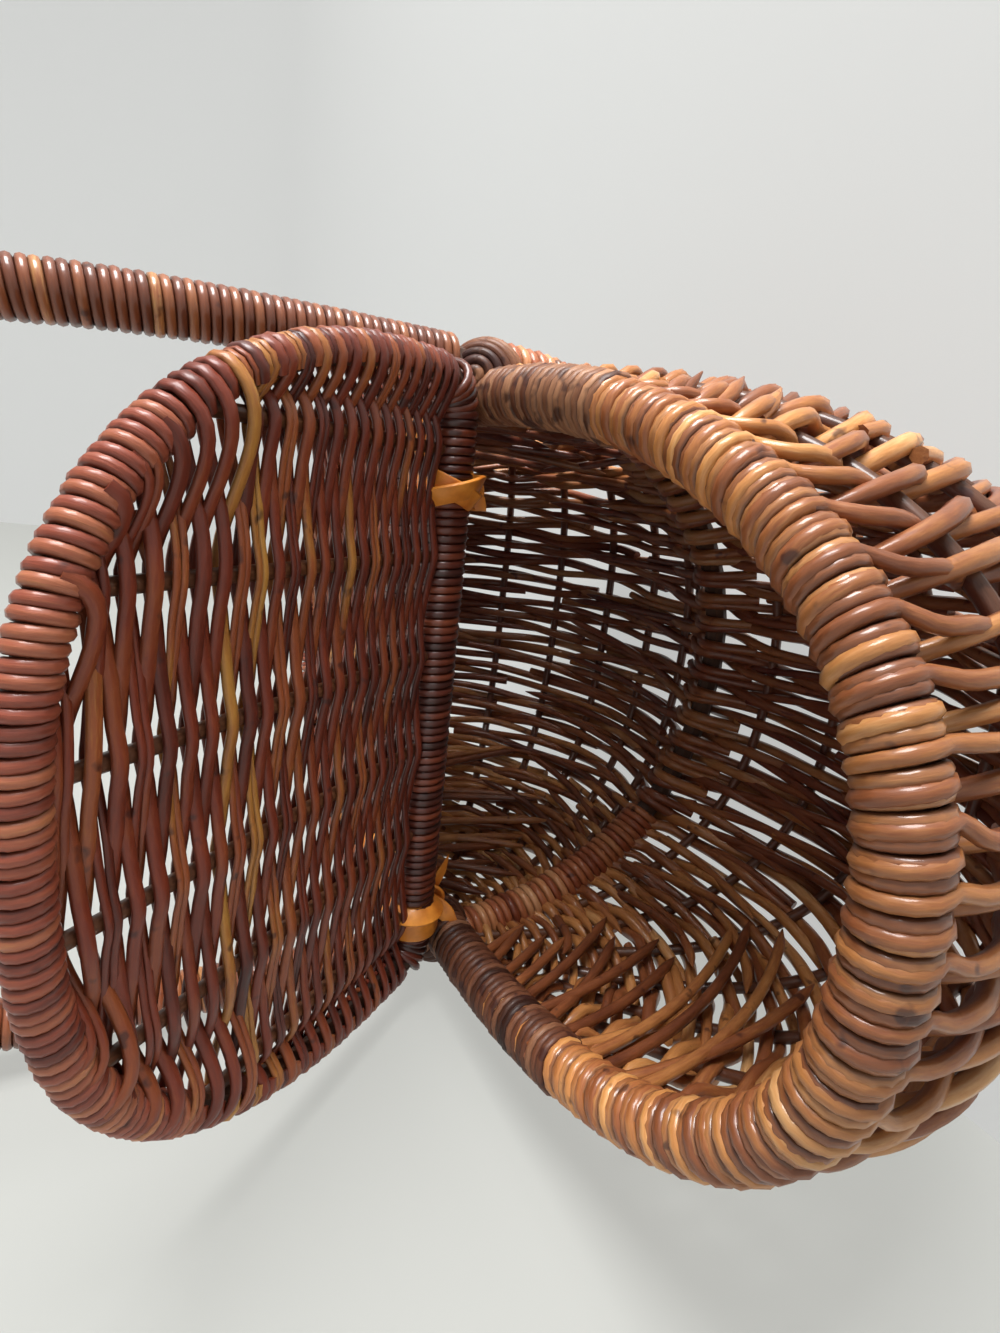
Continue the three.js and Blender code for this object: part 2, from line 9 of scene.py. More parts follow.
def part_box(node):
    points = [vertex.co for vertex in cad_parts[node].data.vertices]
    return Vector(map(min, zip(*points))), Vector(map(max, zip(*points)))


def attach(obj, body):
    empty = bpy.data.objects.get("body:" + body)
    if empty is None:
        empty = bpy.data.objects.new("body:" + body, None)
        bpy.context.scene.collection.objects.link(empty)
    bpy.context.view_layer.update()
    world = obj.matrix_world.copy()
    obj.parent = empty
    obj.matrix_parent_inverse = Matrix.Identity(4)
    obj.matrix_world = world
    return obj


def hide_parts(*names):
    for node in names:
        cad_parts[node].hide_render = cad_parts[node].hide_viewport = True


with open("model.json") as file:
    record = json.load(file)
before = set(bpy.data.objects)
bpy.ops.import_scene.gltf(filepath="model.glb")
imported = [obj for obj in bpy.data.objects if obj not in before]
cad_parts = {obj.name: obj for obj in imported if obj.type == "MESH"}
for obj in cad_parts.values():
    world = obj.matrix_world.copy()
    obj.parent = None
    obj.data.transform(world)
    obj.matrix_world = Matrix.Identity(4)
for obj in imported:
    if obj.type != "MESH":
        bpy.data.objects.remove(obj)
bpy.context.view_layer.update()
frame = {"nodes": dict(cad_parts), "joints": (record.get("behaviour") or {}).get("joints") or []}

scene = bpy.context.scene
mm = 0.001
halves = {"front": 1, "back": -1}  # the back half is the front half turned half round
rimLow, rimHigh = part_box("rim_hoop")
rimHeight = (rimHigh.z + rimLow.z) / 2
print("frame loaded")


# Sizes given in millimetres
def sized(**values):
    return {name: value * mm for name, value in values.items()}


# Helpers for node trees

def linear(hexColour):
    channels = [int(hexColour[at:at + 2], 16) / 255 for at in (0, 2, 4)]
    return [c / 12.92 if c <= 0.04045 else ((c + 0.055) / 1.055) ** 2.4 for c in channels] + [1]


# Adds a node with its settings and links, and gives its outputs
def addNode(tree, kind, feeds=None, **settings):
    node = tree.nodes.new(kind)
    for name, value in settings.items():
        setattr(node, name, value)
    for key, value in (feeds or {}).items():
        if isinstance(value, bpy.types.NodeSocket):
            tree.links.new(value, node.inputs[key])
        else:
            node.inputs[key].default_value = value
    return node.outputs


def newMaterial(name):
    material = bpy.data.materials.new(name)
    material.use_nodes = True
    material.node_tree.nodes.clear()
    return material, material.node_tree


def finishMaterial(tree, look, height, feeds):
    bump = addNode(tree, "ShaderNodeBump", {
        "Height": height, "Strength": look["bump"], "Distance": look["bumpDepth"]})
    shader = addNode(tree, "ShaderNodeBsdfPrincipled", {"Normal": bump[0], **feeds})
    addNode(tree, "ShaderNodeOutputMaterial", {"Surface": shader[0]})


def newTree(name, sockets):
    tree = bpy.data.node_groups.new(name, "GeometryNodeTree")
    tree.interface.new_socket("Geometry", in_out="OUTPUT", socket_type="NodeSocketGeometry")
    for label, kind in {"Geometry": "Geometry", **sockets}.items():
        tree.interface.new_socket(label, in_out="INPUT", socket_type="NodeSocket" + kind)
    return tree, addNode(tree, "NodeGroupInput")


# Turns each curve's flat side the way that its points say
def faceCurves(tree, curves):
    facing = addNode(tree, "GeometryNodeInputNamedAttribute", {"Name": "facing"}, data_type="FLOAT_VECTOR")
    feeds = {"Curve": curves, "Normal": facing[0]}
    return addNode(tree, "GeometryNodeSetCurveNormal", feeds, mode="FREE")[0]


# Notes how far along its strand each point lies, for the grain
def measureCurves(tree, curves):
    length = addNode(tree, "GeometryNodeSplineParameter")["Length"]
    feeds = {"Geometry": curves, "Name": "along", "Value": length}
    return addNode(tree, "GeometryNodeStoreNamedAttribute", feeds)[0]


def ovalRing(tree, sides, halfThickness, halfWidth):
    ring = addNode(tree, "GeometryNodeCurvePrimitiveCircle", {"Resolution": sides, "Radius": 1.0})
    squash = addNode(tree, "ShaderNodeCombineXYZ", {"X": halfThickness, "Y": halfWidth, "Z": 1.0})
    return addNode(tree, "GeometryNodeTransform", {"Geometry": ring[0], "Scale": squash[0]})[0]


# The end of each tree: a section swept along the curves, as one smooth, plain, painted mesh
def sweepCurves(tree, curves, section, material, **scale):
    feeds = {"Curve": curves, "Profile Curve": section, "Fill Caps": True, **scale}
    skin = addNode(tree, "GeometryNodeCurveToMesh", feeds)
    smooth = addNode(tree, "GeometryNodeSetShadeSmooth", {"Geometry": skin[0]})
    real = addNode(tree, "GeometryNodeRealizeInstances", {"Geometry": smooth[0]})
    painted = addNode(tree, "GeometryNodeSetMaterial", {"Geometry": real[0], "Material": material})
    addNode(tree, "NodeGroupOutput", {"Geometry": painted[0]})
    return tree


# Helpers for pieces and paths

def growPiece(name, guide, tree, values, body, slot, *nodes):
    guideObject = bpy.data.objects.new(name + "Guide", guide)
    scene.collection.objects.link(guideObject)
    modifier = guideObject.modifiers.new(tree.name, "NODES")
    modifier.node_group = tree
    for item in tree.interface.items_tree:
        if item.in_out == "INPUT" and item.name in values:
            modifier[item.identifier] = values[item.name]
    depsgraph = bpy.context.evaluated_depsgraph_get()
    mesh = bpy.data.meshes.new_from_object(
        guideObject.evaluated_get(depsgraph), preserve_all_data_layers=True, depsgraph=depsgraph)
    bpy.data.objects.remove(guideObject)
    bpy.data.meshes.remove(guide)
    mesh.name = name
    piece = bpy.data.objects.new(name, mesh)
    scene.collection.objects.link(piece)
    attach(piece, body)
    if nodes:
        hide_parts(*nodes)
    print(name, len(mesh.polygons), "faces")


def arcTable(path):
    return np.r_[0, np.cumsum(np.linalg.norm(np.diff(path, axis=0), axis=1))]


# A smooth path through a few points, in even steps
def smoothPath(points, step):
    points = np.asarray(points, float)
    knots = arcTable(points)
    slopes = np.gradient(points, knots, axis=0)
    at = np.linspace(0, knots[-1], max(4, int(knots[-1] / step) + 1))
    cell = np.clip(np.searchsorted(knots, at) - 1, 0, len(knots) - 2)
    width = (knots[cell + 1] - knots[cell])[:, None]
    u = (at - knots[cell])[:, None] / width
    return ((1 + 2 * u) * (1 - u) ** 2 * points[cell] + u * (1 - u) ** 2 * width * slopes[cell]
            + u * u * (3 - 2 * u) * points[cell + 1] + u * u * (u - 1) * width * slopes[cell + 1])


# Directions square to a path that turn with it and don't twist
def facingAlong(points, start):
    tangents = np.gradient(points, axis=0)
    tangents /= np.linalg.norm(tangents, axis=1)[:, None]
    facing = np.empty_like(points)
    last = np.asarray(start, float)
    for at, tangent in enumerate(tangents):
        last = last - tangent * (last @ tangent)
        last = last / np.linalg.norm(last)
        facing[at] = last
    return facing


anyWay = (0.3, 0.2, 0.93)  # for round strands, whose facing doesn't show


# Strands as chains of edges that carry their thickness, tone and flat side
def strandGuide(name, strands):
    points, edges, radii, tones, facings = [], [], [], [], []
    for strand in strands:
        path = strand["path"]
        first = len(points)
        count = len(path)
        points += [tuple(point) for point in path]
        edges += [(first + at, first + at + 1) for at in range(count - 1)]
        if strand.get("closed"):
            edges.append((first + count - 1, first))
        radii += list(np.broadcast_to(strand["radius"], count))
        tones += [strand["tone"]] * count
        facings += list(facingAlong(path, strand.get("facing", anyWay)))
    guide = bpy.data.meshes.new(name + "Guide")
    guide.from_pydata(points, edges, [])
    for label, values in {"strandRadius": radii, "tone": tones}.items():
        guide.attributes.new(label, "FLOAT", "POINT").data.foreach_set("value", np.array(values, np.float32))
    guide.attributes.new("facing", "FLOAT_VECTOR", "POINT").data.foreach_set(
        "vector", np.array(facings, np.float32).ravel())
    return guide


# Geometry trees

# Willow rods: a round or flattened section along each strand
def rodTree():
    tree, inputs = newTree("willowRods", {"Sides": "Int", "Flatness": "Float", "Material": "Material"})
    chains = addNode(tree, "GeometryNodeMeshToCurve", {"Mesh": inputs["Geometry"]})[0]
    strands = measureCurves(tree, faceCurves(tree, chains))
    ring = ovalRing(tree, inputs["Sides"], inputs["Flatness"], 1.0)
    place = addNode(tree, "GeometryNodeInputPosition")[0]
    feeds = {"Geometry": ring, "Name": "section", "Value": place}
    section = addNode(tree, "GeometryNodeStoreNamedAttribute", feeds, data_type="FLOAT_VECTOR")[0]
    radius = addNode(tree, "GeometryNodeInputNamedAttribute", {"Name": "strandRadius"}, data_type="FLOAT")[0]
    return sweepCurves(tree, strands, section, inputs["Material"], Scale=radius)


# Cane wound round a rod: the path becomes a helix, and a flat section follows it
def windingTree():
    tree, inputs = newTree("woundCane", {
        "Turns": "Int", "Points": "Int", "Coil radius": "Float", "Half width": "Float",
        "Half thickness": "Float", "Plane normal": "Vector", "Slack": "Float", "Pairing": "Float",
        "Tone low": "Float", "Tone high": "Float", "Sides": "Int", "Seed": "Int", "Material": "Material"})
    chains = addNode(tree, "GeometryNodeMeshToCurve", {"Mesh": inputs["Geometry"]})[0]
    even = addNode(tree, "GeometryNodeResampleCurve", {"Curve": chains, "Count": inputs["Points"]})[0]
    factor = addNode(tree, "GeometryNodeSplineParameter")["Factor"]
    turn = addNode(tree, "ShaderNodeMath", {0: factor, 1: inputs["Turns"]}, operation="MULTIPLY")[0]
    angle = addNode(tree, "ShaderNodeMath", {0: turn, 1: 2 * math.pi}, operation="MULTIPLY")[0]
    cosine = addNode(tree, "ShaderNodeMath", {0: angle}, operation="COSINE")[0]
    sine = addNode(tree, "ShaderNodeMath", {0: angle}, operation="SINE")[0]
    tangent = addNode(tree, "GeometryNodeInputTangent")[0]
    normal = inputs["Plane normal"]
    across = addNode(tree, "ShaderNodeVectorMath", {0: tangent, 1: normal}, operation="CROSS_PRODUCT")[0]
    upPart = addNode(tree, "ShaderNodeVectorMath", {0: normal, "Scale": cosine}, operation="SCALE")[0]
    sidePart = addNode(tree, "ShaderNodeVectorMath", {0: across, "Scale": sine}, operation="SCALE")[0]
    outward = addNode(tree, "ShaderNodeVectorMath", {0: upPart, 1: sidePart}, operation="ADD")[0]
    # Some turns lie looser than others
    feeds = {"W": turn, "Scale": 1.7, "Detail": 0.0}
    wander = addNode(tree, "ShaderNodeTexNoise", feeds, noise_dimensions="1D")[0]
    feeds = {0: wander, 1: inputs["Slack"], 2: inputs["Coil radius"]}
    loose = addNode(tree, "ShaderNodeMath", feeds, operation="MULTIPLY_ADD")[0]
    lifted = addNode(tree, "ShaderNodeVectorMath", {0: outward, "Scale": loose}, operation="SCALE")[0]
    # Turns bunch in twos
    halfTurn = addNode(tree, "ShaderNodeMath", {0: turn, 1: math.pi}, operation="MULTIPLY")[0]
    beat = addNode(tree, "ShaderNodeMath", {0: halfTurn}, operation="COSINE")[0]
    sidestep = addNode(tree, "ShaderNodeMath", {0: beat, 1: inputs["Pairing"]}, operation="MULTIPLY")[0]
    shift = addNode(tree, "ShaderNodeVectorMath", {0: tangent, "Scale": sidestep}, operation="SCALE")[0]
    offset = addNode(tree, "ShaderNodeVectorMath", {0: lifted, 1: shift}, operation="ADD")[0]
    whole = addNode(tree, "ShaderNodeMath", {0: turn}, operation="FLOOR")[0]
    feeds = {"ID": whole, "Seed": inputs["Seed"], 2: inputs["Tone low"], 3: inputs["Tone high"]}
    tone = addNode(tree, "FunctionNodeRandomValue", feeds, data_type="FLOAT")[1]
    feeds = {"Geometry": even, "Name": "tone", "Value": tone}
    toned = addNode(tree, "GeometryNodeStoreNamedAttribute", feeds)[0]
    feeds = {"Geometry": toned, "Name": "facing", "Value": outward}
    faced = addNode(tree, "GeometryNodeStoreNamedAttribute", feeds, data_type="FLOAT_VECTOR")[0]
    coil = addNode(tree, "GeometryNodeSetPosition", {"Geometry": faced, "Offset": offset})[0]
    strands = measureCurves(tree, faceCurves(tree, coil))
    ring = ovalRing(tree, inputs["Sides"], inputs["Half thickness"], inputs["Half width"])
    place = addNode(tree, "GeometryNodeInputPosition")[0]
    unit = addNode(tree, "ShaderNodeVectorMath", {0: place}, operation="NORMALIZE")[0]
    feeds = {"Geometry": ring, "Name": "section", "Value": unit}
    section = addNode(tree, "GeometryNodeStoreNamedAttribute", feeds, data_type="FLOAT_VECTOR")[0]
    return sweepCurves(tree, strands, section, inputs["Material"])


# A leather strap: a flat section with softened corners
def strapTree():
    corner = {"Radius": 0.3 * mm, "Count": 2}
    tree, inputs = newTree("leatherStrap", {"Width": "Float", "Thickness": "Float", "Material": "Material"})
    chains = addNode(tree, "GeometryNodeMeshToCurve", {"Mesh": inputs["Geometry"]})[0]
    block = addNode(tree, "GeometryNodeCurvePrimitiveQuadrilateral", {
        "Width": inputs["Thickness"], "Height": inputs["Width"]})
    softened = addNode(tree, "GeometryNodeFilletCurve", {"Curve": block[0], **corner}, mode="POLY")
    share = addNode(tree, "GeometryNodeInputNamedAttribute", {"Name": "strandRadius"}, data_type="FLOAT")[0]
    return sweepCurves(tree, faceCurves(tree, chains), softened[0], inputs["Material"], Scale=share)


# Materials

willowLook = {
    # lit and dark set how far below the mouth the painted shade inside the body begins and is full; the X
    # values below set where it lessens on the lamp-lit -X side
    **sized(grainLength=9, patchLength=30, speckSize=5, grimeFrom=90, grimeTo=130, lit=1, dark=16,
            fadedFrom=-10, fadedTo=-70, bumpDepth=0.3),
    "grainLines": 2.4, "grainShare": 0.4, "patchShare": 0.55,
    "strandShift": 91.0,  # moves the pattern from strand to strand
    "bark": "341815", "speckFrom": 0.66, "speckSoftness": 0.07, "speckShare": 0.75,
    # painted shade between turns, and darkening towards the two ends of the mouth, each off unless asked
    "seams": 0.0, "seamFrom": 0.6, "grime": 0.0,
    # painted shade inside the body: how much, its colour, which faces count as inward, and how much of it
    # stays on the lamp-lit side
    "shelter": 0.0, "shade": "571a1b", "outside": 0.5, "inside": -0.4, "fadedShare": 0.25,
    "roughness": (0.36, 0.6), "bump": 0.4, "sheen": 0.3, "coat": 0.42, "coatRoughness": 0.13,
}


# Varnished willow: stained rods with lengthwise grain, patches where the varnish lies thicker, dark
# specks of bark and a clear coat that gives small sharp highlights; where asked, painted shade between turns
# and inside the body, and darkening towards the ends of the mouth
def varnishedWillow(name, **changes):
    look = {**willowLook, **changes}
    material, tree = newMaterial(name)
    tone = addNode(tree, "ShaderNodeAttribute", attribute_name="tone")["Fac"]
    along = addNode(tree, "ShaderNodeAttribute", attribute_name="along")["Fac"]
    section = addNode(tree, "ShaderNodeAttribute", attribute_name="section")["Vector"]
    across = addNode(tree, "ShaderNodeSeparateXYZ", {0: section})
    strandShift = addNode(tree, "ShaderNodeMath", {0: tone, 1: look["strandShift"]}, operation="MULTIPLY")[0]
    feeds = {0: along, 1: 1 / look["grainLength"], 2: strandShift}
    lengthwise = addNode(tree, "ShaderNodeMath", feeds, operation="MULTIPLY_ADD")[0]
    grainPlace = addNode(tree, "ShaderNodeCombineXYZ", {0: across[0], 1: across[1], 2: lengthwise})[0]
    feeds = {"Vector": grainPlace, "Scale": look["grainLines"], "Detail": 3.0, "Roughness": 0.6}
    grain = addNode(tree, "ShaderNodeTexNoise", feeds)[0]
    feeds = {0: along, 1: 1 / look["patchLength"], 2: strandShift}
    patchPlace = addNode(tree, "ShaderNodeMath", feeds, operation="MULTIPLY_ADD")[0]
    feeds = {"W": patchPlace, "Scale": 1.0, "Detail": 2.0}
    patch = addNode(tree, "ShaderNodeTexNoise", feeds, noise_dimensions="1D")[0]
    feeds = {0: grain, 1: look["grainShare"], 2: tone}
    grained = addNode(tree, "ShaderNodeMath", feeds, operation="MULTIPLY_ADD")[0]
    feeds = {0: patch, 1: look["patchShare"], 2: grained}
    stain = addNode(tree, "ShaderNodeMath", feeds, operation="MULTIPLY_ADD")[0]
    average = (look["grainShare"] + look["patchShare"]) / 2
    centred = addNode(tree, "ShaderNodeMath", {0: stain, 1: average}, operation="SUBTRACT")[0]
    coloured = addNode(tree, "ShaderNodeValToRGB", {0: centred})[0]
    stops = coloured.node.color_ramp.elements
    for at, (stop, colour) in enumerate(look["tones"]):
        element = stops[at] if at < 2 else stops.new(stop)  # a new ramp has two stops
        element.position = stop
        element.color = linear(colour)
    coordinates = addNode(tree, "ShaderNodeTexCoord")
    place = coordinates["Object"]
    axes = addNode(tree, "ShaderNodeSeparateXYZ", {0: place})
    feeds = {"Vector": place, "Scale": 1 / look["speckSize"], "Detail": 2.0}
    specks = addNode(tree, "ShaderNodeTexNoise", feeds)[0]
    speckTo = look["speckFrom"] + look["speckSoftness"]
    darker = [(specks, look["speckFrom"], speckTo, look["speckShare"])]
    if look["seams"]:  # painted shade: darker towards the sides of each turn's section, where one turn meets the next
        beside = addNode(tree, "ShaderNodeMath", {0: across[1]}, operation="ABSOLUTE")[0]
        darker.append((beside, look["seamFrom"], 1.0, look["seams"]))
    if look["grime"]:  # darker towards both ends of the mouth, from 90 to 130 mm out along Y
        away = addNode(tree, "ShaderNodeMath", {0: axes["Y"]}, operation="ABSOLUTE")[0]
        darker.append((away, look["grimeFrom"], look["grimeTo"], look["grime"]))
    for value, start, end, most in darker:
        share = addNode(tree, "ShaderNodeMapRange", {0: value, 1: start, 2: end, 3: 0.0, 4: most})[0]
        feeds = {"Factor": share, 6: coloured, 7: linear(look["bark"])}
        coloured = addNode(tree, "ShaderNodeMix", feeds, data_type="RGBA")[2]
    if look["shelter"]:  # painted shade: faces turned inward below the mouth are darkened towards the shade colour, less so on the -X side, which the lamp lights through the mouth
        feeds = {0: place, 1: (0, 0, rimHeight)}
        fromMouth = addNode(tree, "ShaderNodeVectorMath", feeds, operation="SUBTRACT")[0]
        outward = addNode(tree, "ShaderNodeVectorMath", {0: fromMouth}, operation="NORMALIZE")[0]
        feeds = {0: outward, 1: coordinates["Normal"]}
        facing = addNode(tree, "ShaderNodeVectorMath", feeds, operation="DOT_PRODUCT")["Value"]
        feeds = {0: facing, 1: look["outside"], 2: look["inside"], 3: 0.0, 4: look["shelter"]}
        inside = addNode(tree, "ShaderNodeMapRange", feeds)[0]
        feeds = {0: axes["Z"], 1: rimHeight - look["lit"], 2: rimHeight - look["dark"]}
        depth = addNode(tree, "ShaderNodeMapRange", feeds)[0]
        feeds = {0: axes["X"], 1: look["fadedTo"], 2: look["fadedFrom"], 3: look["fadedShare"], 4: 1.0}
        litSide = addNode(tree, "ShaderNodeMapRange", feeds)[0]
        deep = addNode(tree, "ShaderNodeMath", {0: depth, 1: litSide}, operation="MULTIPLY")[0]
        shaded = addNode(tree, "ShaderNodeMath", {0: inside, 1: deep}, operation="MULTIPLY")[0]
        feeds = {"Factor": shaded, 6: coloured, 7: linear(look["shade"])}
        coloured = addNode(tree, "ShaderNodeMix", feeds, data_type="RGBA")[2]
    smooth, rough = look["roughness"]
    gloss = addNode(tree, "ShaderNodeMapRange", {0: grain, 3: smooth, 4: rough})[0]
    finishMaterial(tree, look, grain, {
        "Base Color": coloured, "Roughness": gloss, "IOR": 1.5, "Specular IOR Level": look["sheen"],
        "Coat Weight": look["coat"], "Coat Roughness": look["coatRoughness"]})
    return material


# body, rim and ribs take painted shade inside the body; most of the willows take painted shade between turns
bodyWillow = varnishedWillow("varnishedWillowWeave", shelter=0.6, grime=0.34, tones=[
    (0.0, "4f2614"), (0.4, "965731"), (0.7, "c9884b"), (1.0, "eebb7e")])
rollWillow = varnishedWillow("varnishedWillowRim", shelter=0.6, seams=0.8, grime=0.25, coat=0.6, tones=[
    (0.0, "4a2313"), (0.4, "8f5531"), (0.7, "be834d"), (1.0, "e6b67d")])
keelWillow = varnishedWillow("varnishedWillowKeel", seams=0.6, tones=[
    (0.0, "612716"), (0.4, "a05635"), (0.7, "c17e50"), (1.0, "dca677")])
ribWillow = varnishedWillow("peeledWillowRibs", shelter=0.4, tones=[
    (0.0, "32190f"), (0.5, "5c3620"), (1.0, "7d5030")])
earWillow = varnishedWillow("fineWillowBindings", speckFrom=0.57, bump=0.5, coat=0.06, seams=0.5, tones=[
    (0.0, "2f170e"), (0.5, "673c28"), (1.0, "ac7c5a")])
handleWillow = varnishedWillow("woundHandleCane", coat=0.6, seams=0.7, tones=[
    (0.0, "4f2212"), (0.5, "804427"), (0.8, "985a34"), (1.0, "c79355")])
lidWillow = varnishedWillow("stainedWillowLid", coat=0.2, sheen=0.35, seams=0.5, tones=[
    (0.0, "3a120a"), (0.4, "742d18"), (0.7, "8f4a24"), (1.0, "b27d38")])
# Lid edge: lighter tones, partly for rubbing and dust and partly a painted highlight for the soft light that
# the rolled edge catches
rubbedAndLitEdgeWillow = varnishedWillow("rubbedWillowLidEdge", coat=0.3, sheen=0.35, seams=0.6, tones=[
    (0.0, "46190f"), (0.4, "873f2b"), (0.7, "a25f40"), (1.0, "c8924f")])
barWillow = varnishedWillow("darkHingeCane", coat=0.5, seams=0.7, tones=[
    (0.0, "290d07"), (0.6, "582213"), (1.0, "7a381d")])


# Lace leather: vegetable tanned, golden, clouded lighter and darker, with fine pores and a dull shine
def laceLeatherMaterial():
    look = {**sized(pore=0.35, bumpDepth=0.1, cloud=6), "bump": 0.15, "cloudRange": (0.3, 0.7),
            "dark": "ba641a", "light": "f29c3a", "roughness": (0.35, 0.55), "coat": 0.1}
    material, tree = newMaterial("vegetableTannedLace")
    place = addNode(tree, "ShaderNodeTexCoord")["Object"]
    feeds = {"Vector": place, "Scale": 1 / look["cloud"], "Detail": 3.0}
    cloud = addNode(tree, "ShaderNodeTexNoise", feeds)[0]
    pores = addNode(tree, "ShaderNodeTexVoronoi", {"Vector": place, "Scale": 1 / look["pore"]})[0]
    low, high = look["cloudRange"]
    tint = addNode(tree, "ShaderNodeMapRange", {0: cloud, 1: low, 2: high})[0]
    feeds = {"Factor": tint, 6: linear(look["dark"]), 7: linear(look["light"])}
    colour = addNode(tree, "ShaderNodeMix", feeds, data_type="RGBA")[2]
    smooth, rough = look["roughness"]
    gloss = addNode(tree, "ShaderNodeMapRange", {0: cloud, 3: smooth, 4: rough})[0]
    finishMaterial(tree, look, pores, {
        "Base Color": colour, "Roughness": gloss, "IOR": 1.46, "Coat Weight": look["coat"]})
    return material


# Hoop rods under the windings: thicker willow, barked and dark, seen only between turns
def hoopRodMaterial():
    look = {**sized(grain=1.2, bumpDepth=0.3), "bump": 0.4, "stretch": 0.12, "roughness": 0.6,
            "dark": "24130b", "light": "5b3721"}
    material, tree = newMaterial("willowHoopRod")
    place = addNode(tree, "ShaderNodeTexCoord")["Object"]
    drawn = addNode(tree, "ShaderNodeMapping", {"Vector": place, "Scale": (look["stretch"], 1, 1)})[0]
    feeds = {"Vector": drawn, "Scale": 1 / look["grain"], "Detail": 4.0}
    grain = addNode(tree, "ShaderNodeTexNoise", feeds)[0]
    feeds = {"Factor": grain, 6: linear(look["dark"]), 7: linear(look["light"])}
    colour = addNode(tree, "ShaderNodeMix", feeds, data_type="RGBA")[2]
    finishMaterial(tree, look, grain, {"Base Color": colour, "Roughness": look["roughness"], "IOR": 1.5})
    return material


laceLeather = laceLeatherMaterial()
hoopRod = hoopRodMaterial()
willowRods = rodTree()
woundCane = windingTree()
leatherStrap = strapTree()
print("materials and trees made")


# Basket body

hoopLow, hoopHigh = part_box("handle_hoop")
rimRod = (rimHigh.z - rimLow.z) / 2
handleRod = (hoopHigh.y - hoopLow.y) / 2
basketShape = {
    "mouthHalfWidth": rimHigh.x - rimRod, "mouthHalfLength": rimHigh.y - rimRod, "mouthSquareness": 2.35,
    "keelDepth": rimHeight - hoopLow.z - handleRod, "keelSquareness": 2.1,
    "hoopHalfWidth": hoopHigh.x - handleRod, "handleRise": hoopHigh.z - handleRod - rimHeight,
    "handleSquareness": 3.6, "lobeFullness": 20 * mm, "lobeSquareness": 0.7, "flankSharpness": 3,
    "rimRoll": 6.8 * mm,  # outside radius of the weave turned round the rim
    "crossings": 8,  # rim to rib, rib to rib and rib to keel
}
keelTilt = math.pi / 2
tiltStep = keelTilt / basketShape["crossings"]


def ovalPoint(halfWidth, halfLength, squareness, angle):
    cosine, sine = np.cos(angle), np.sin(angle)
    reach = (np.abs(cosine) ** squareness + np.abs(sine) ** squareness) ** (-1 / squareness)
    return halfWidth * cosine * reach, halfLength * sine * reach


# A point of a lobe: tilt runs from the rim, 0, to the keel, a quarter turn; sweep runs from ear to ear
def lobePoint(tilt, sweep, offset=0.0, side=1):
    shape = basketShape
    tilt, sweep, offset = np.broadcast_arrays(*(np.asarray(v, float) for v in (tilt, sweep, offset)))
    rimShare, keelShare, swell = np.cos(tilt) ** 2, np.sin(tilt) ** 2, np.sin(2 * tilt)
    reach = (shape["mouthHalfLength"] * rimShare + shape["keelDepth"] * keelShare
             + shape["lobeFullness"] * swell)
    squareness = (shape["mouthSquareness"] * rimShare + shape["keelSquareness"] * keelShare
                  + shape["lobeSquareness"] * swell)
    flank = (1 - np.sin(tilt)) ** shape["flankSharpness"]
    narrowing = (shape["hoopHalfWidth"] - shape["mouthHalfWidth"]) * flank
    x, distance = ovalPoint(shape["hoopHalfWidth"] - narrowing + offset, reach + offset, squareness, sweep)
    return np.stack([side * x, -side * distance * np.cos(tilt), rimHeight - distance * np.sin(tilt)], -1)


sweepTable = np.linspace(0, math.pi, 1601)
rimTable = arcTable(lobePoint(0, sweepTable))
rimLength = rimTable[-1]
keelTable = arcTable(lobePoint(keelTilt, sweepTable))
keelLength = keelTable[-1]

ribShape = {**sized(line=-1.1, radius=1.7, tip=1.2, taper=30, shortFrom=40),
            "clear": 0.05, "points": 90, "tone": 0.3, "toneStep": 0.05}
weave = {
    **sized(pairPitch=8.7, pairGap=3.05, earReach=50, swing=2.3, step=2.4, radius=1.8, wobble=1.2,
            rimTaper=30, rimShift=7.4, fineFrom=11, fineTo=46, finePitch=2.9, fineRadius=1.35, fineDrop=4,
            keelTuck=4),
    "earRollTo": sized(right=60, left=76), "keelWound": sized(right=60, left=93),
    "spread": 0.12, "tones": (0.35, 0.75), "sides": 7, "seed": 11,
    "rimRadius": {1: 1.3 * mm, -1: 1.45 * mm}, "rimSpread": (0.93, 1.07),
    "rimTurn": {1: (225, -28), -1: (-45, 208)}, "rimSteps": 8,
    "slantFrom": 0.3, "slantOver": 1.1,  # crossings over which a weaver of the second kind slants
    "waves": ((1.0, 0.9), (0.5, 2.3)), "phases": 6.28, "keelTail": 0.7, "tailLift": 0.4, "hug": 0.9,
}
# Swing of a weaver between the rim and the second rib, as crossing and share of the full swing: the first
# kind leaves the rim on the outside, the second slants over the first rib
firstSwings = {1: [(0.3, 2.1), (0.55, 1.6), (0.8, 0.5), (1, -0.7), (1.25, -0.9)],
               -1: [(0.3, -0.3), (0.5, 0.7), (0.75, 1.3), (1, 1.35), (1.3, 0.9)]}
fineSwings = {1: [(0.6, 0.5), (1, -1)], -1: [(0.6, -0.3), (1, 1)]}


def sweepAt(distance):
    return float(np.interp(distance, rimTable, sweepTable))


def strandOf(path, radius, tone, floorRadius):
    path[:, 2] = np.maximum(path[:, 2], floorRadius)  # nothing goes below the ground
    return {"path": path, "radius": radius, "tone": tone}


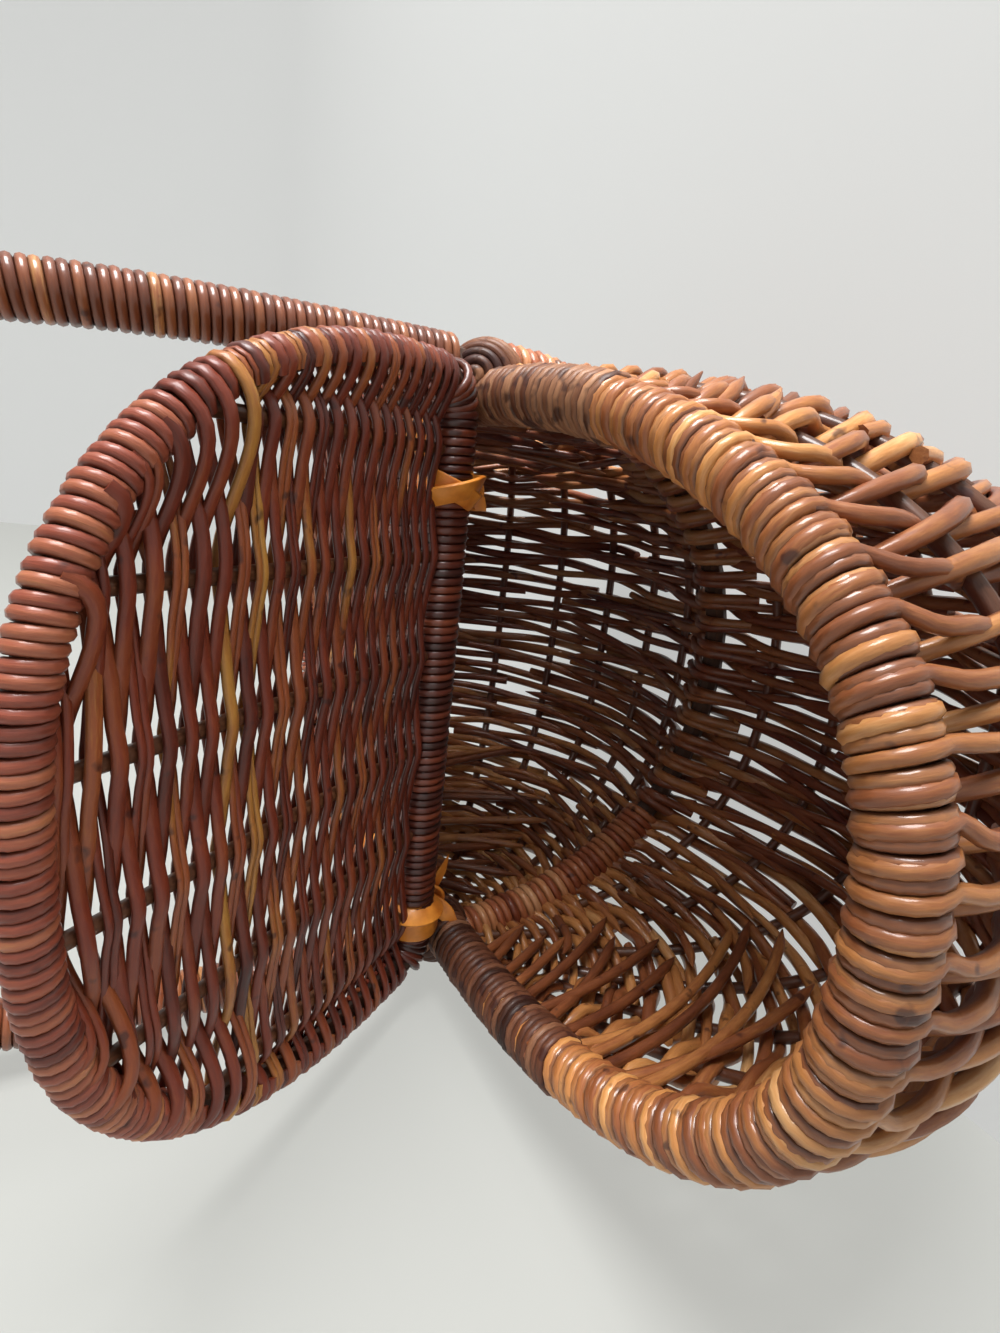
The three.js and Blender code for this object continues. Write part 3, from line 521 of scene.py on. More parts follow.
# A weaver's turn over the rim, from one side of the wall to the other
def rimTurn(side, at, lead, radius):
    nudge = 0.5 * mm
    rimPoint = lobePoint(0, sweepAt(at), 0, side)
    run = lobePoint(0, sweepAt(at + nudge), 0, side) - lobePoint(0, sweepAt(at - nudge), 0, side)
    run /= np.linalg.norm(run)
    up = np.array([0, 0, 1.0])
    out = np.cross(run, up)
    out *= np.sign(out @ (rimPoint * (1, 1, 0)))
    roll = basketShape["rimRoll"] - radius
    angles = np.radians(np.linspace(*weave["rimTurn"][lead], weave["rimSteps"]))
    shifts = np.linspace(1, -1, weave["rimSteps"]) * lead * radius
    return [rimPoint + roll * (out * math.cos(a) + up * math.sin(a)) + run * shift
            for a, shift in zip(angles, shifts)]


# Between its wound ends the keel is woven over like a rib
def isOverKeel(side, at):
    fromRight = np.interp(sweepAt(at) if side > 0 else math.pi - sweepAt(at), sweepTable, keelTable)
    return weave["keelWound"]["right"] < fromRight < keelLength - weave["keelWound"]["left"]


# One weaver: turned over the rim, over and under the ribs, and tucked in at the keel or just past it
def weaverStrand(side, at, lead, isFine, chance):
    radius = weave["fineRadius" if isFine else "radius"]
    radius *= chance.uniform(1 - weave["spread"], 1 + weave["spread"])
    rimRadius = radius if isFine else weave["rimRadius"][lead] * chance.uniform(*weave["rimSpread"])
    crossings = basketShape["crossings"] // (2 if isFine else 1)
    swing = ribShape["tip"] + weave["hug"] * radius if isFine else weave["swing"]
    swings = (fineSwings if isFine else firstSwings)[lead]
    swings = swings + [(half / 2, lead * math.cos(math.pi * half / 2)) for half in range(3, 2 * crossings)]
    phase = chance.uniform(0, weave["phases"], 2)
    if isFine:
        keys = [lobePoint(0, sweepAt(at), 0, side) - (0, 0, weave["fineDrop"])]
    else:
        keys = rimTurn(side, at + (weave["rimShift"] if lead < 0 else 0), lead, rimRadius)
    turned = len(keys)
    for crossing, share in swings:
        waves = zip(weave["waves"], phase)
        drift = sum(height * math.sin(rate * crossing + start) for (height, rate), start in waves)
        drift *= 0 if isFine else weave["wobble"]
        if lead < 0 and not isFine:
            slant = min(1, max(0, (crossing - weave["slantFrom"]) / weave["slantOver"]))
            drift += weave["rimShift"] * (1 - slant)
        tilt = keelTilt * crossing / crossings
        keys.append(lobePoint(tilt, sweepAt(at + drift), ribShape["line"] + share * swing, side))
    if isOverKeel(side, at) and not isFine:
        keys.append(lobePoint(keelTilt, sweepAt(at), lead * (handleRod + weave["hug"] * radius), side))
        keys.append(lobePoint(keelTilt - weave["keelTail"] * tiltStep, math.pi - sweepAt(at),
                              ribShape["line"] - weave["tailLift"] * lead * swing, -side))
    else:
        keys.append(lobePoint(keelTilt, sweepAt(at), 0, side) + (0, -side * weave["keelTuck"], 0))
    path = smoothPath(keys, weave["step"])
    overRim = arcTable(np.array(keys))[turned - 1]
    pastRim = (arcTable(path) - overRim) / weave["rimTaper"]
    thick = radius + (rimRadius - radius) * np.clip(1 - pastRim, 0, 1)
    return strandOf(path, thick, chance.uniform(*weave["tones"]), radius)


# Free ends, with crossings for start and tips, and millimetres for depths and slants
freeShape = {"points": 9, "tip": 3, "bluntness": 0.6, "tones": (0.1, 0.6)}
laidEnd = {**sized(startDepth=-1.5, radius=1.55), "from": 24 * mm, "to": 88 * mm, "count": 13, "start": 0.5,
           "tips": (4.4, 6.6), "shorter": 1.6, "depths": (-6, -4), "slants": (4, 28), "bend": 0.4}
looseEnd = {"radius": 1.5 * mm, "count": 28, "start": 7.3, "tips": (3.2, 5.2), "depths": (3, 7),
            "slants": (-14, 14)}
cutEnd = {**sized(shift=2, proud=3.4, radius=1.75), "count": 7, "start": 0.9, "tips": (1.45, 1.7),
          "slants": (3, 6)}


# A strand end that lies free on the wall, from its start to its tip, and tapers over its last few points
def freeEnd(side, at, end, tip, offsets, slant, chance, straight=0.0):
    share = np.linspace(0, 1, freeShape["points"])
    tilts = (end["start"] + (tip - end["start"]) * share) * tiltStep
    points = [lobePoint(tilt, sweepAt(at + slant * part), offsets[0] + (offsets[1] - offsets[0]) * part, side)
              for tilt, part in zip(tilts, share)]
    chord = np.outer(1 - share, points[0]) + np.outer(share, points[-1])
    path = smoothPath(straight * chord + (1 - straight) * np.array(points), weave["step"])
    left = len(path) - freeShape["bluntness"] - np.arange(len(path))
    thin = np.minimum(1, left / freeShape["tip"])
    return strandOf(path, end["radius"] * thin, chance.uniform(*freeShape["tones"]), end["radius"])


packing = {**sized(shift=2.8, radius=1.65), "from": (1.1, 2.4), "lastFrom": 6, "to": 7.5,
           "length": (1.8, 4.2), "bare": (0.2, 0.8), "spread": (0.75, 1.15), "tones": (0.2, 0.8)}


# A length of willow woven in between two pairs to fill the slit there
def packer(side, at, lead, start, end, chance):
    lean = chance.uniform(-1, 1) * mm
    keys = [lobePoint(crossing * tiltStep, sweepAt(at + lean * (crossing - start)),
                      ribShape["line"] + lead * math.cos(math.pi * crossing) * weave["swing"], side)
            for crossing in np.arange(start, end, 0.5)]
    radius = packing["radius"] * chance.uniform(*packing["spread"])
    return strandOf(smoothPath(keys, weave["step"]), radius, chance.uniform(*packing["tones"]), radius)


def lobeWeavers(side):
    chance = np.random.default_rng(weave["seed"] + side)
    draw = chance.uniform
    pairs = int((rimLength - 2 * weave["earReach"]) / weave["pairPitch"]) + 1
    places = rimLength / 2 + (np.arange(pairs) - (pairs - 1) / 2) * weave["pairPitch"]
    strands = []
    for place in places:
        strands.append(weaverStrand(side, place, 1, False, chance))
        strands.append(weaverStrand(side, place - weave["pairGap"], -1, False, chance))
    for row, near in enumerate(np.arange(weave["fineFrom"], weave["fineTo"], weave["finePitch"])):
        for at in (near, rimLength - near):
            strands.append(weaverStrand(side, at, 1 if row % 2 else -1, True, chance))
    for place in places:
        crossing = draw(*packing["from"])
        while crossing < packing["lastFrom"]:
            end = min(packing["to"], crossing + draw(*packing["length"]))
            lead = chance.choice((-1, 1))
            strands.append(packer(side, place + packing["shift"], lead, crossing, end, chance))
            crossing = end + draw(*packing["bare"])
    for share in np.linspace(0, 1, laidEnd["count"]):  # long ends laid in beside each ear
        near = laidEnd["from"] + share * (laidEnd["to"] - laidEnd["from"])
        for at, way in ((near, 1), (rimLength - near, -1)):
            tip = draw(*laidEnd["tips"]) - laidEnd["shorter"] * share
            depths = (laidEnd["startDepth"], draw(*laidEnd["depths"]) * mm)
            slant = way * draw(*laidEnd["slants"]) * mm
            straight = 1 - laidEnd["bend"] * share
            strands.append(freeEnd(side, at, laidEnd, tip, depths, slant, chance, straight))
    for place in chance.choice(places, looseEnd["count"], replace=False):  # ends left loose inside
        depths = (ribShape["line"], ribShape["line"] - ribShape["radius"] - draw(*looseEnd["depths"]) * mm)
        tip = draw(*looseEnd["tips"])
        slant = draw(*looseEnd["slants"]) * mm
        strands.append(freeEnd(side, place, looseEnd, tip, depths, slant, chance))
    for place in chance.choice(places, cutEnd["count"], replace=False):  # ends cut off outside
        depths = (0, cutEnd["proud"])
        tip = draw(*cutEnd["tips"])
        slant = -draw(*cutEnd["slants"]) * mm
        strands.append(freeEnd(side, place + cutEnd["shift"], cutEnd, tip, depths, slant, chance))
    return strands


def lobeRibs(side):
    strands = []
    for rib in range(1, basketShape["crossings"]):
        sweeps = np.linspace(ribShape["clear"], math.pi - ribShape["clear"], ribShape["points"])
        path = lobePoint(rib * tiltStep, sweeps, ribShape["line"], side)
        reach = np.hypot(path[:, 1], path[:, 2] - rimHeight)
        if rib % 2:  # every other rib stops short of the ears
            path, reach = path[reach > ribShape["shortFrom"]], reach[reach > ribShape["shortFrom"]]
        thin = np.clip(1 - reach / ribShape["taper"], 0, 1)
        radius = ribShape["radius"] - (ribShape["radius"] - ribShape["tip"]) * thin
        tone = ribShape["tone"] + ribShape["toneStep"] * rib
        strands.append(strandOf(path, radius, tone, ribShape["radius"]))
    return strands


def growRods(name, strands, sides, flatness, material, *dressing):
    values = {"Sides": sides, "Flatness": flatness, "Material": material}
    growPiece(name, strandGuide(name, strands), willowRods, values, *dressing)


for half, side in halves.items():
    ribNodes = [f"{half}_rib_{rib}" for rib in range(1, basketShape["crossings"])]
    growRods(half + "Weave", lobeWeavers(side), weave["sides"], 1.0, bodyWillow,
             "basket", "willow_body", half + "_wall")
    growRods(half + "Ribs", lobeRibs(side), weave["sides"], 1.0, ribWillow, "basket", "willow_rib", *ribNodes)


# Windings round the rim, keel, handle and crossbar

def windRod(name, path, normal, winding, material, *dressing):
    guide = bpy.data.meshes.new(name + "Guide")
    guide.from_pydata([tuple(point) for point in path], [(at, at + 1) for at in range(len(path) - 1)], [])
    turns = max(2, round(arcTable(path)[-1] / winding["pitch"]))
    toneLow, toneHigh = winding["tones"]
    growPiece(name, guide, woundCane, {
        "Turns": turns, "Points": turns * winding["steps"] + 1, "Coil radius": winding["radius"],
        "Half width": winding["halfWidth"], "Half thickness": winding["halfThickness"],
        "Plane normal": normal, "Slack": winding["slack"], "Pairing": winding["pairing"],
        "Tone low": toneLow, "Tone high": toneHigh, "Sides": winding["sides"], "Seed": winding["seed"],
        "Material": material}, *dressing)


def stretchOf(path, start, end):
    table = arcTable(path)
    at = np.linspace(start, end, max(8, int((end - start) / (3 * mm))))
    return np.stack([np.interp(at, table, path[:, axis]) for axis in range(3)], -1)


upright = (0.0, 1.0, 0.0)
level = (0.0, 0.0, -1.0)  # each turn starts underneath
denseSweep = np.linspace(0, math.pi, 401)
cane = {"steps": 14, "sides": 8, "pairing": 0.0}

rimWinding = {**cane, **sized(pitch=2.5, radius=4.95, halfWidth=1.3, halfThickness=1.1, slack=0.5, overlap=2),
              "tones": (0.3, 0.62), "seed": 3}
for half, side in halves.items():
    rimPath = lobePoint(0, denseSweep, 0, side)
    ends = [weave["earRollTo"][hand] - rimWinding["overlap"] for hand in ("right", "left")][::side]
    rimRun = stretchOf(rimPath, ends[0], rimLength - ends[1])
    windRod(half + "RimRoll", rimRun, level, rimWinding, rollWillow, "basket", "willow_body")

earWinding = {**cane, **sized(pitch=2.4, radius=5.8, halfWidth=1.3, halfThickness=1.2, slack=0.6),
              "sides": 6, "seed": 5}
earTones = {"right": (0.45, 1.0), "left": (0.0, 0.65)}
backRim = lobePoint(0, denseSweep, 0, -1)
frontRim = lobePoint(0, denseSweep, 0, 1)
for name, side in {"right": 1, "left": -1}.items():
    rollTo = weave["earRollTo"][name]
    around = np.concatenate([stretchOf(frontRim, 0, rollTo)[::-1],
                             stretchOf(backRim, rimLength - rollTo, rimLength)[::-1][1:]])
    windRod(name + "EarRoll", around * (side, side, 1), level, {**earWinding, "tones": earTones[name]},
            earWillow, "basket", "willow_handle")

keelWinding = {**cane, **sized(pitch=2.8, radius=5.2, halfWidth=1.5, halfThickness=1.5, slack=0.6, start=2),
               "tones": (0.2, 0.75), "seed": 8}
keelPath = lobePoint(keelTilt, denseSweep, 0, 1)
for name, path in {"right": keelPath, "left": keelPath[::-1]}.items():
    keelEnd = stretchOf(path, keelWinding["start"], weave["keelWound"][name])
    windRod(name + "KeelRoll", keelEnd, upright, keelWinding, keelWillow, "basket", "willow_body")

handleWinding = {**cane, **sized(pitch=2.25, radius=5.2, halfWidth=1.2, halfThickness=1.0, slack=0.25,
                                 pairing=0.1, startHeight=9), "steps": 16, "tones": (0.2, 0.82), "seed": 21}
handleX, handleZ = ovalPoint(basketShape["hoopHalfWidth"], basketShape["handleRise"],
                             basketShape["handleSquareness"], denseSweep)
handlePath = np.stack([handleX, 0 * handleX, rimHeight + handleZ], -1)
handlePath = handlePath[handleZ > handleWinding["startHeight"]]
windRod("handleWinding", handlePath, upright, handleWinding, handleWillow,
        "basket", "willow_handle", "handle_binding")

crossbarWinding = {**cane, **sized(pitch=2.25, radius=3.5, halfWidth=1.2, halfThickness=1.0, slack=0.2),
                   "tones": (0.1, 0.8), "seed": 27}
barLow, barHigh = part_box("crossbar")
barHeight = (barLow.z + barHigh.z) / 2
crossbarPath = np.array([(barLow.x, 0, barHeight), (barHigh.x, 0, barHeight)])
windRod("crossbarWinding", crossbarPath, level, crossbarWinding, barWillow,
        "basket", "willow_bar", "crossbar")


# Ear lashings: two crossed sets of turns over the place where the hoops meet
lashing = {**sized(radius=1.35, proud=1.3), "spread": (0.9, 1.1), "turns": 12, "points": 40, "sides": 8,
           "seed": 31, "climb": 82, "tones": (0.15, 0.9)}
for name in ("right", "left"):
    chance = np.random.default_rng(lashing["seed"])
    low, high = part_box(name + "_ear_lashing")
    centre, reach = np.array((low + high) / 2), np.array((high - low) / 2)
    strands = []
    for layer, slant in enumerate((1, -1)):
        normal = np.array([0, slant, 1.0]) / math.sqrt(2)
        along = np.array([0, -slant, 1.0]) / math.sqrt(2)
        size = reach - lashing["radius"] - lashing["proud"] * (1 - layer)
        for turn in range(lashing["turns"]):
            climb = math.radians(lashing["climb"] * (2 * turn / (lashing["turns"] - 1) - 1))
            lift = size[1] * math.sin(climb)
            ring = math.cos(climb)
            angles = np.linspace(0, 2 * math.pi, lashing["points"], endpoint=False)
            path = (centre + normal * lift + np.outer(np.cos(angles), (ring * size[0], 0, 0))
                    + np.outer(np.sin(angles), along * ring * size[1]))
            strands.append({"path": path, "radius": lashing["radius"] * chance.uniform(*lashing["spread"]),
                            "closed": True, "tone": chance.uniform(*lashing["tones"])})
    growRods(name + "EarLashing", strands, lashing["sides"], 1.0, earWillow,
             "basket", "willow_handle", name + "_ear_lashing")


# Lids

joints = {joint["child"]: joint for joint in frame["joints"]}
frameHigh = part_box("back_lid_frame")[1]
lidRod = 2.6 * mm  # in the bow; the hinge bar is thicker
lidShape = {
    **sized(corner=10, ribRadius=1.5, ribFrom=5, ribClear=7),
    "edgeFrom": 64 * mm,  # rows shorter than this end inside the wound edge
    "bowRod": lidRod, "halfWidth": frameHigh.x - lidRod, "squareness": 2.6,
    "reach": frameHigh.y - lidRod - joints["back_lid"]["pos_m"][1],
    "opening": {"front": math.radians(53.5), "back": 0.0},
    "ribPlaces": [(rib - 2.5) * 26 * mm for rib in range(6)], "ribPoints": 30, "ribTone": 0.45, "sides": 8,
}
lidWeave = {
    **sized(firstRow=7.6, firstPitch=2.05, lastPitch=2.2, swing=2.0, halfWidth=1.24, edgeGap=0.1, kinkAt=6,
            restAt=13, cutLength=9, step=2.2),
    "rows": 46, "flatness": 0.56, "spread": (0.92, 1.06), "widening": 0.2, "seed": 41,
    "splitShare": 0.15, "splitWidth": 0.56,  # two thin canes in place of one broad one
    "amberRows": (28, 31), "amberTone": 0.92, "goldShare": 0.15, "goldTones": (0.66, 0.78),
    "tones": (0.15, 0.6), "toneSpread": 0.08, "cutTones": (0.5, 0.75),
    "boundTurn": (-125, 75, 7), "bareTurn": (60, 80), "kinkShare": 0.45,  # how a row turns over bow and rib
    "ribWander": 0.15, "restWander": 0.25, "cutFrom": 0.4, "cutRise": 3.2,  # in millimetres, as are the ends
    "cutEnds": [(17, 58, 1), (8, 16, -1), (-34, 68, 2), (40, 86, 1), (-52, 34, -2)],
}


# From a lid's own plane, x along the hinge bar, u away from it and w up, to the basket
def lidPoint(half, x, u, w):
    side, opening = halves[half], lidShape["opening"][half]
    x, u, w = np.broadcast_arrays(*(np.asarray(v, float) for v in (x, u, w)))
    hinge = joints[half + "_lid"]["pos_m"]
    away = u * math.cos(opening) - w * math.sin(opening)
    rise = u * math.sin(opening) + w * math.cos(opening)
    return np.stack([side * x + hinge[0], -side * away + hinge[1], rise + hinge[2]], -1)


def lidHalfWidthAt(u):
    shape = lidShape
    if u < shape["corner"]:
        return shape["halfWidth"] - shape["corner"] + math.sqrt(u * (2 * shape["corner"] - u))
    return shape["halfWidth"] * (1 - (u / shape["reach"]) ** shape["squareness"]) ** (1 / shape["squareness"])


# Points of one row: turned over the bow at both ends, kinked over and under the ribs
def lidRowKeys(u, row, chance):
    nudge = 0.1 * mm
    edge = lidHalfWidthAt(u)
    slope = (lidHalfWidthAt(u + nudge) - lidHalfWidthAt(u - nudge)) / (2 * nudge)
    outward = np.array([1, -slope]) / math.hypot(1, slope)
    parity = 1 if row % 2 else -1
    ribs = [(at, x) for at, x in enumerate(lidShape["ribPlaces"]) if abs(x) < edge - lidShape["ribClear"]]
    firstRib, lastRib = ribs[0][0], ribs[-1][0]
    roll = lidShape["bowRod"] + lidWeave["halfWidth"] * lidWeave["flatness"] + lidWeave["edgeGap"]
    isBound = edge > lidShape["edgeFrom"]
    angles = np.radians(np.linspace(*lidWeave["boundTurn"]) if isBound else lidWeave["bareTurn"])

    def turnOver(end, rib):
        face = parity * (-1) ** (rib + 1)
        outs = [roll * math.cos(a) for a in angles]
        return [(end * (edge + n * outward[0]), u + n * outward[1], face * roll * math.sin(a))
                for n, a in zip(outs, angles)]

    keys = turnOver(-1, firstRib)
    for at, x in ribs:
        lift = parity * (-1) ** at * lidWeave["swing"]
        kink = lidWeave["kinkShare"] * lift
        if at > firstRib:
            keys.append((x - lidWeave["kinkAt"], u, kink))
        keys.append((x, u + chance.uniform(-1, 1) * lidWeave["ribWander"] * mm, lift))
        if at < lastRib:
            keys.append((x + lidWeave["kinkAt"], u, kink))
            keys.append((x + lidWeave["restAt"], u + chance.uniform(-1, 1) * lidWeave["restWander"] * mm, 0))
    return keys + turnOver(1, lastRib)[::-1]


def lidRows(half, up):
    chance = np.random.default_rng(lidWeave["seed"] + halves[half])
    pitches = np.linspace(lidWeave["firstPitch"], lidWeave["lastPitch"], lidWeave["rows"] - 1)
    places = lidWeave["firstRow"] + np.r_[0, np.cumsum(pitches)]
    strands = []
    for row, u in enumerate(places):
        isGold = chance.random() < lidWeave["goldShare"]
        tone = chance.uniform(*lidWeave["goldTones" if isGold else "tones"])
        tone = lidWeave["amberTone"] if row in lidWeave["amberRows"] else tone
        isSplit = chance.random() < lidWeave["splitShare"]
        width = lidWeave["halfWidth"] * chance.uniform(*lidWeave["spread"])
        width *= 1 + lidWeave["widening"] * row / lidWeave["rows"]
        for shift in ((-width / 2, width / 2) if isSplit else (0,)):
            keys = np.array(lidRowKeys(u + shift, row, chance))
            path = smoothPath(lidPoint(half, keys[:, 0], keys[:, 1], keys[:, 2]), lidWeave["step"])
            change = chance.uniform(-lidWeave["toneSpread"], lidWeave["toneSpread"])
            strands.append({"path": path, "radius": width * (lidWeave["splitWidth"] if isSplit else 1),
                            "tone": tone + change, "facing": up})
    for x, u, lean in np.array(lidWeave["cutEnds"]) * mm:  # rod ends that were cut off on the upper face
        along = np.linspace(0, 1, 6)
        rise = (lidWeave["cutFrom"] + lidWeave["cutRise"] * along) * mm
        path = lidPoint(half, x + along * lidWeave["cutLength"], u + along * lean, rise)
        strands.append({"path": path, "radius": lidWeave["halfWidth"],
                        "tone": chance.uniform(*lidWeave["cutTones"]), "facing": up})
    return strands


barWinding = {**cane, **sized(pitch=2.15, radius=4.9, halfWidth=1.12, halfThickness=1.1, slack=0.2),
              "steps": 16, "tones": (0.1, 0.9), "seed": 51, "bend": (-90, -30, 9)}
edgeWinding = {**cane, **sized(pitch=2.1, radius=3.0, halfWidth=1.15, halfThickness=0.95, slack=0.5,
                               pairing=0.2), "tones": (0.25, 0.7), "seed": 57}

for half in halves:
    body = half + "_lid"
    up = lidPoint(half, 0, 0, 1) - lidPoint(half, 0, 0, 0)
    normal = tuple(float(v) for v in up)
    growRods(half + "LidWeave", lidRows(half, up), lidShape["sides"], lidWeave["flatness"], lidWillow,
             body, "willow_lid", body + "_weave")
    ribStrands = []
    for x in lidShape["ribPlaces"]:
        share = 1 - abs(x / lidShape["halfWidth"]) ** lidShape["squareness"]
        end = lidShape["reach"] * share ** (1 / lidShape["squareness"])
        ribPath = lidPoint(half, x, np.linspace(lidShape["ribFrom"], end, lidShape["ribPoints"]), 0)
        ribStrands.append({"path": ribPath, "radius": lidShape["ribRadius"], "tone": lidShape["ribTone"]})
    growRods(half + "LidRibs", ribStrands, lidShape["sides"], 1.0, ribWillow, body, "willow_rib",
             *[f"{body}_rib_{rib + 1}" for rib in range(len(ribStrands))])
    corner = np.radians(np.linspace(*barWinding["bend"]))
    cornerX = lidShape["halfWidth"] - lidShape["corner"] + lidShape["corner"] * np.cos(corner)
    cornerU = lidShape["corner"] * (1 + np.sin(corner))
    barPath = lidPoint(half, np.r_[-cornerX[::-1], cornerX], np.r_[cornerU[::-1], cornerU], 0)
    windRod(half + "HingeBar", barPath, normal, barWinding, barWillow, body, "willow_bar", body + "_binding")
    bowX, bowU = ovalPoint(lidShape["halfWidth"], lidShape["reach"], lidShape["squareness"], denseSweep)
    kept = np.abs(bowX) < lidShape["edgeFrom"]
    edgePath = lidPoint(half, bowX[kept], bowU[kept], 0)
    windRod(half + "LidEdge", edgePath, normal, edgeWinding, rubbedAndLitEdgeWillow, body, "willow_lid")


# Leather laces: two turns round the crossbar and a hinge bar, a knot underneath and two pointed tails

lace = {**sized(width=5.3, thickness=1.1, crossbarRoll=5.3, hingeRoll=6.9, gap=0.1, step=1.2), "tone": 0.5,
        "places": sized(right=55, left=-67),
        # Where the strap lies along the bars: side by side at the left, crossed at the right
        "shifts": {"left": ([0, 0.42, 0.58, 1], [-0.5, -0.5, 0.5, 0.5]),
                   "right": ([0, 0.26, 0.42, 0.74, 0.92, 1], [0.45, 0.45, -0.35, -0.35, 0.45, 0.45])}}
laceKnot = {**sized(size=2.6, step=0.7), "long": 1.35, "twist": 0.25, "drop": 0.5, "width": 0.85}
# Each tail: which way it points in the front right corner's sense, its length and its breadth
laceTails = {"left": [((0.86, 0.0, -0.5), 16 * mm, 0.62), ((-0.55, -0.5, -0.67), 15 * mm, 1.0)],
             "right": [((-0.45, -0.3, -0.84), 9 * mm, 0.95), ((0.75, 0.25, -0.6), 8 * mm, 0.9)]}
tailShape = {"points": 14, "rise": 2 * mm, "neck": 0.6, "swell": 2, "end": 1.03, "point": 0.45, "least": 0.05}


# One turn round both bars, seen along them
def laceTurn(gap, spare):
    small, large = lace["crossbarRoll"] + spare, lace["hingeRoll"] + spare
    lean = math.acos((small - large) / gap)
    near = [(small * math.cos(a), small * math.sin(a)) for a in np.linspace(-lean, lean, 10)]
    far = [(-gap + large * math.cos(a), large * math.sin(a))
           for a in np.linspace(lean, 2 * math.pi - lean, 16)]
    return [((near[0][0] + far[-1][0]) / 2, (near[0][1] + far[-1][1]) / 2)] + near + far


def lacePieces(x, side, gap, hand):
    loop = laceTurn(gap, 0)
    over = laceTurn(gap, lace["thickness"]) if hand == "right" else loop
    total = 2 * len(loop)
    keys = []
    for step in range(total + 1):
        y, z = (loop if step < len(loop) else over)[step % len(loop)]
        shift = np.interp(step / total, *lace["shifts"][hand])
        keys.append((x + side * shift * (lace["width"] + lace["gap"]), side * y, barHeight + z))
    knotAt = np.array([x, side * loop[0][0], barHeight + loop[0][1] - lace["thickness"]])
    size = laceKnot["size"]
    ring = [knotAt + (laceKnot["long"] * size * math.cos(a), laceKnot["twist"] * size * math.sin(2 * a),
                      size * (math.sin(a) - laceKnot["drop"]))
            for a in np.linspace(0.5 * math.pi, 2.5 * math.pi, 15)]
    strands = [{"path": smoothPath(keys, lace["step"]), "radius": 1.0, "facing": (0, 0.2, -1)},
               {"path": smoothPath(ring, laceKnot["step"]), "radius": laceKnot["width"], "facing": (0, 0, 1)}]
    for way, length, breadth in laceTails[hand]:
        out = np.array([side * way[0], side * way[1], way[2]])
        along = np.linspace(0, 1, tailShape["points"])
        path = knotAt + np.outer(along * length, out) + np.outer(along ** 2, (0, 0, tailShape["rise"]))
        broad = tailShape["neck"] + tailShape["swell"] * along
        pointed = (tailShape["end"] - along) / tailShape["point"]
        width = np.clip(np.minimum(broad, pointed), tailShape["least"], 1) * breadth
        strands.append({"path": path, "radius": width, "facing": (0.2, side, 0.1)})
    return [{**strand, "tone": lace["tone"]} for strand in strands]


strap = {"Width": lace["width"], "Thickness": lace["thickness"], "Material": laceLeather}
for half, side in halves.items():
    gap = abs(joints[half + "_lid"]["pos_m"][1])
    for hand, x in lace["places"].items():
        name = f"{half}Lace{hand.capitalize()}"
        growPiece(name, strandGuide(name, lacePieces(side * x, side, gap, hand)), leatherStrap, strap,
                  "basket", "lace_leather", f"{half}_lace_{hand}")

for name in ("rim_hoop", "handle_hoop", "front_lid_frame", "back_lid_frame"):
    slots = frame["nodes"][name].data.materials
    slots.clear()
    slots.append(hoopRod)
print("pieces made")


# Studio: a pale floor, a pale cloth standing close beside the basket, soft lamps and the camera

studio = {"paper": "cfd0ce", "paperSeen": "dadbd9", "cloth": "bfc0bb", "clothSeen": "d2d3ce", "glow": 0.72,
          "roughness": 0.85, "clothAt": -97 * mm, "clothFrom": -0.6, "reach": 2.5, "backAt": 1.3, "cove": 0.5,
          "room": "f4f6f8", "roomStrength": 0.32, "roomSeen": "d6d7d5"}
lamps = {"windowLamp": {"place": (1.0, -0.08, 0.32), "size": 0.5, "power": 20.5},
         "fillLamp": {"place": (0.25, -0.95, 0.65), "size": 0.8, "power": 0.8}}


# The pale ground as the eye and the varnish see it; it lights the basket only by what falls on it
def seenDirectly(tree):
    rays = addNode(tree, "ShaderNodeLightPath")
    feeds = {0: rays["Is Camera Ray"], 1: rays["Is Glossy Ray"]}
    straight = addNode(tree, "ShaderNodeMath", feeds, operation="MAXIMUM")[0]
    feeds = {0: straight, 1: rays["Is Transmission Ray"]}
    return addNode(tree, "ShaderNodeMath", feeds, operation="MAXIMUM")[0]


def paperMaterial(name, colour, seenColour, isOneSided):
    material, tree = newMaterial(name)
    feeds = {"Base Color": linear(colour), "Roughness": studio["roughness"]}
    matt = addNode(tree, "ShaderNodeBsdfPrincipled", feeds)[0]
    glow = addNode(tree, "ShaderNodeEmission", {"Color": linear(seenColour)})[0]
    feeds = {0: seenDirectly(tree), 1: studio["glow"]}
    share = addNode(tree, "ShaderNodeMath", feeds, operation="MULTIPLY")[0]
    surface = addNode(tree, "ShaderNodeMixShader", {0: share, 1: matt, 2: glow})[0]
    if isOneSided:
        behind = addNode(tree, "ShaderNodeNewGeometry")["Backfacing"]
        clear = addNode(tree, "ShaderNodeBsdfTransparent")[0]
        surface = addNode(tree, "ShaderNodeMixShader", {0: behind, 1: surface, 2: clear})[0]
    addNode(tree, "ShaderNodeOutputMaterial", {"Surface": surface})
    return material


def stageSheet(name, rows, material):
    columns = len(rows[0])
    points = [point for row in rows for point in row]
    faces = [(at, at + 1, at + columns + 1, at + columns)
             for row in range(len(rows) - 1) for at in range(row * columns, (row + 1) * columns - 1)]
    mesh = bpy.data.meshes.new(name)
    mesh.from_pydata(points, [], faces)
    mesh.shade_smooth()
    mesh.materials.append(material)
    sheet = bpy.data.objects.new(name, mesh)
    scene.collection.objects.link(sheet)


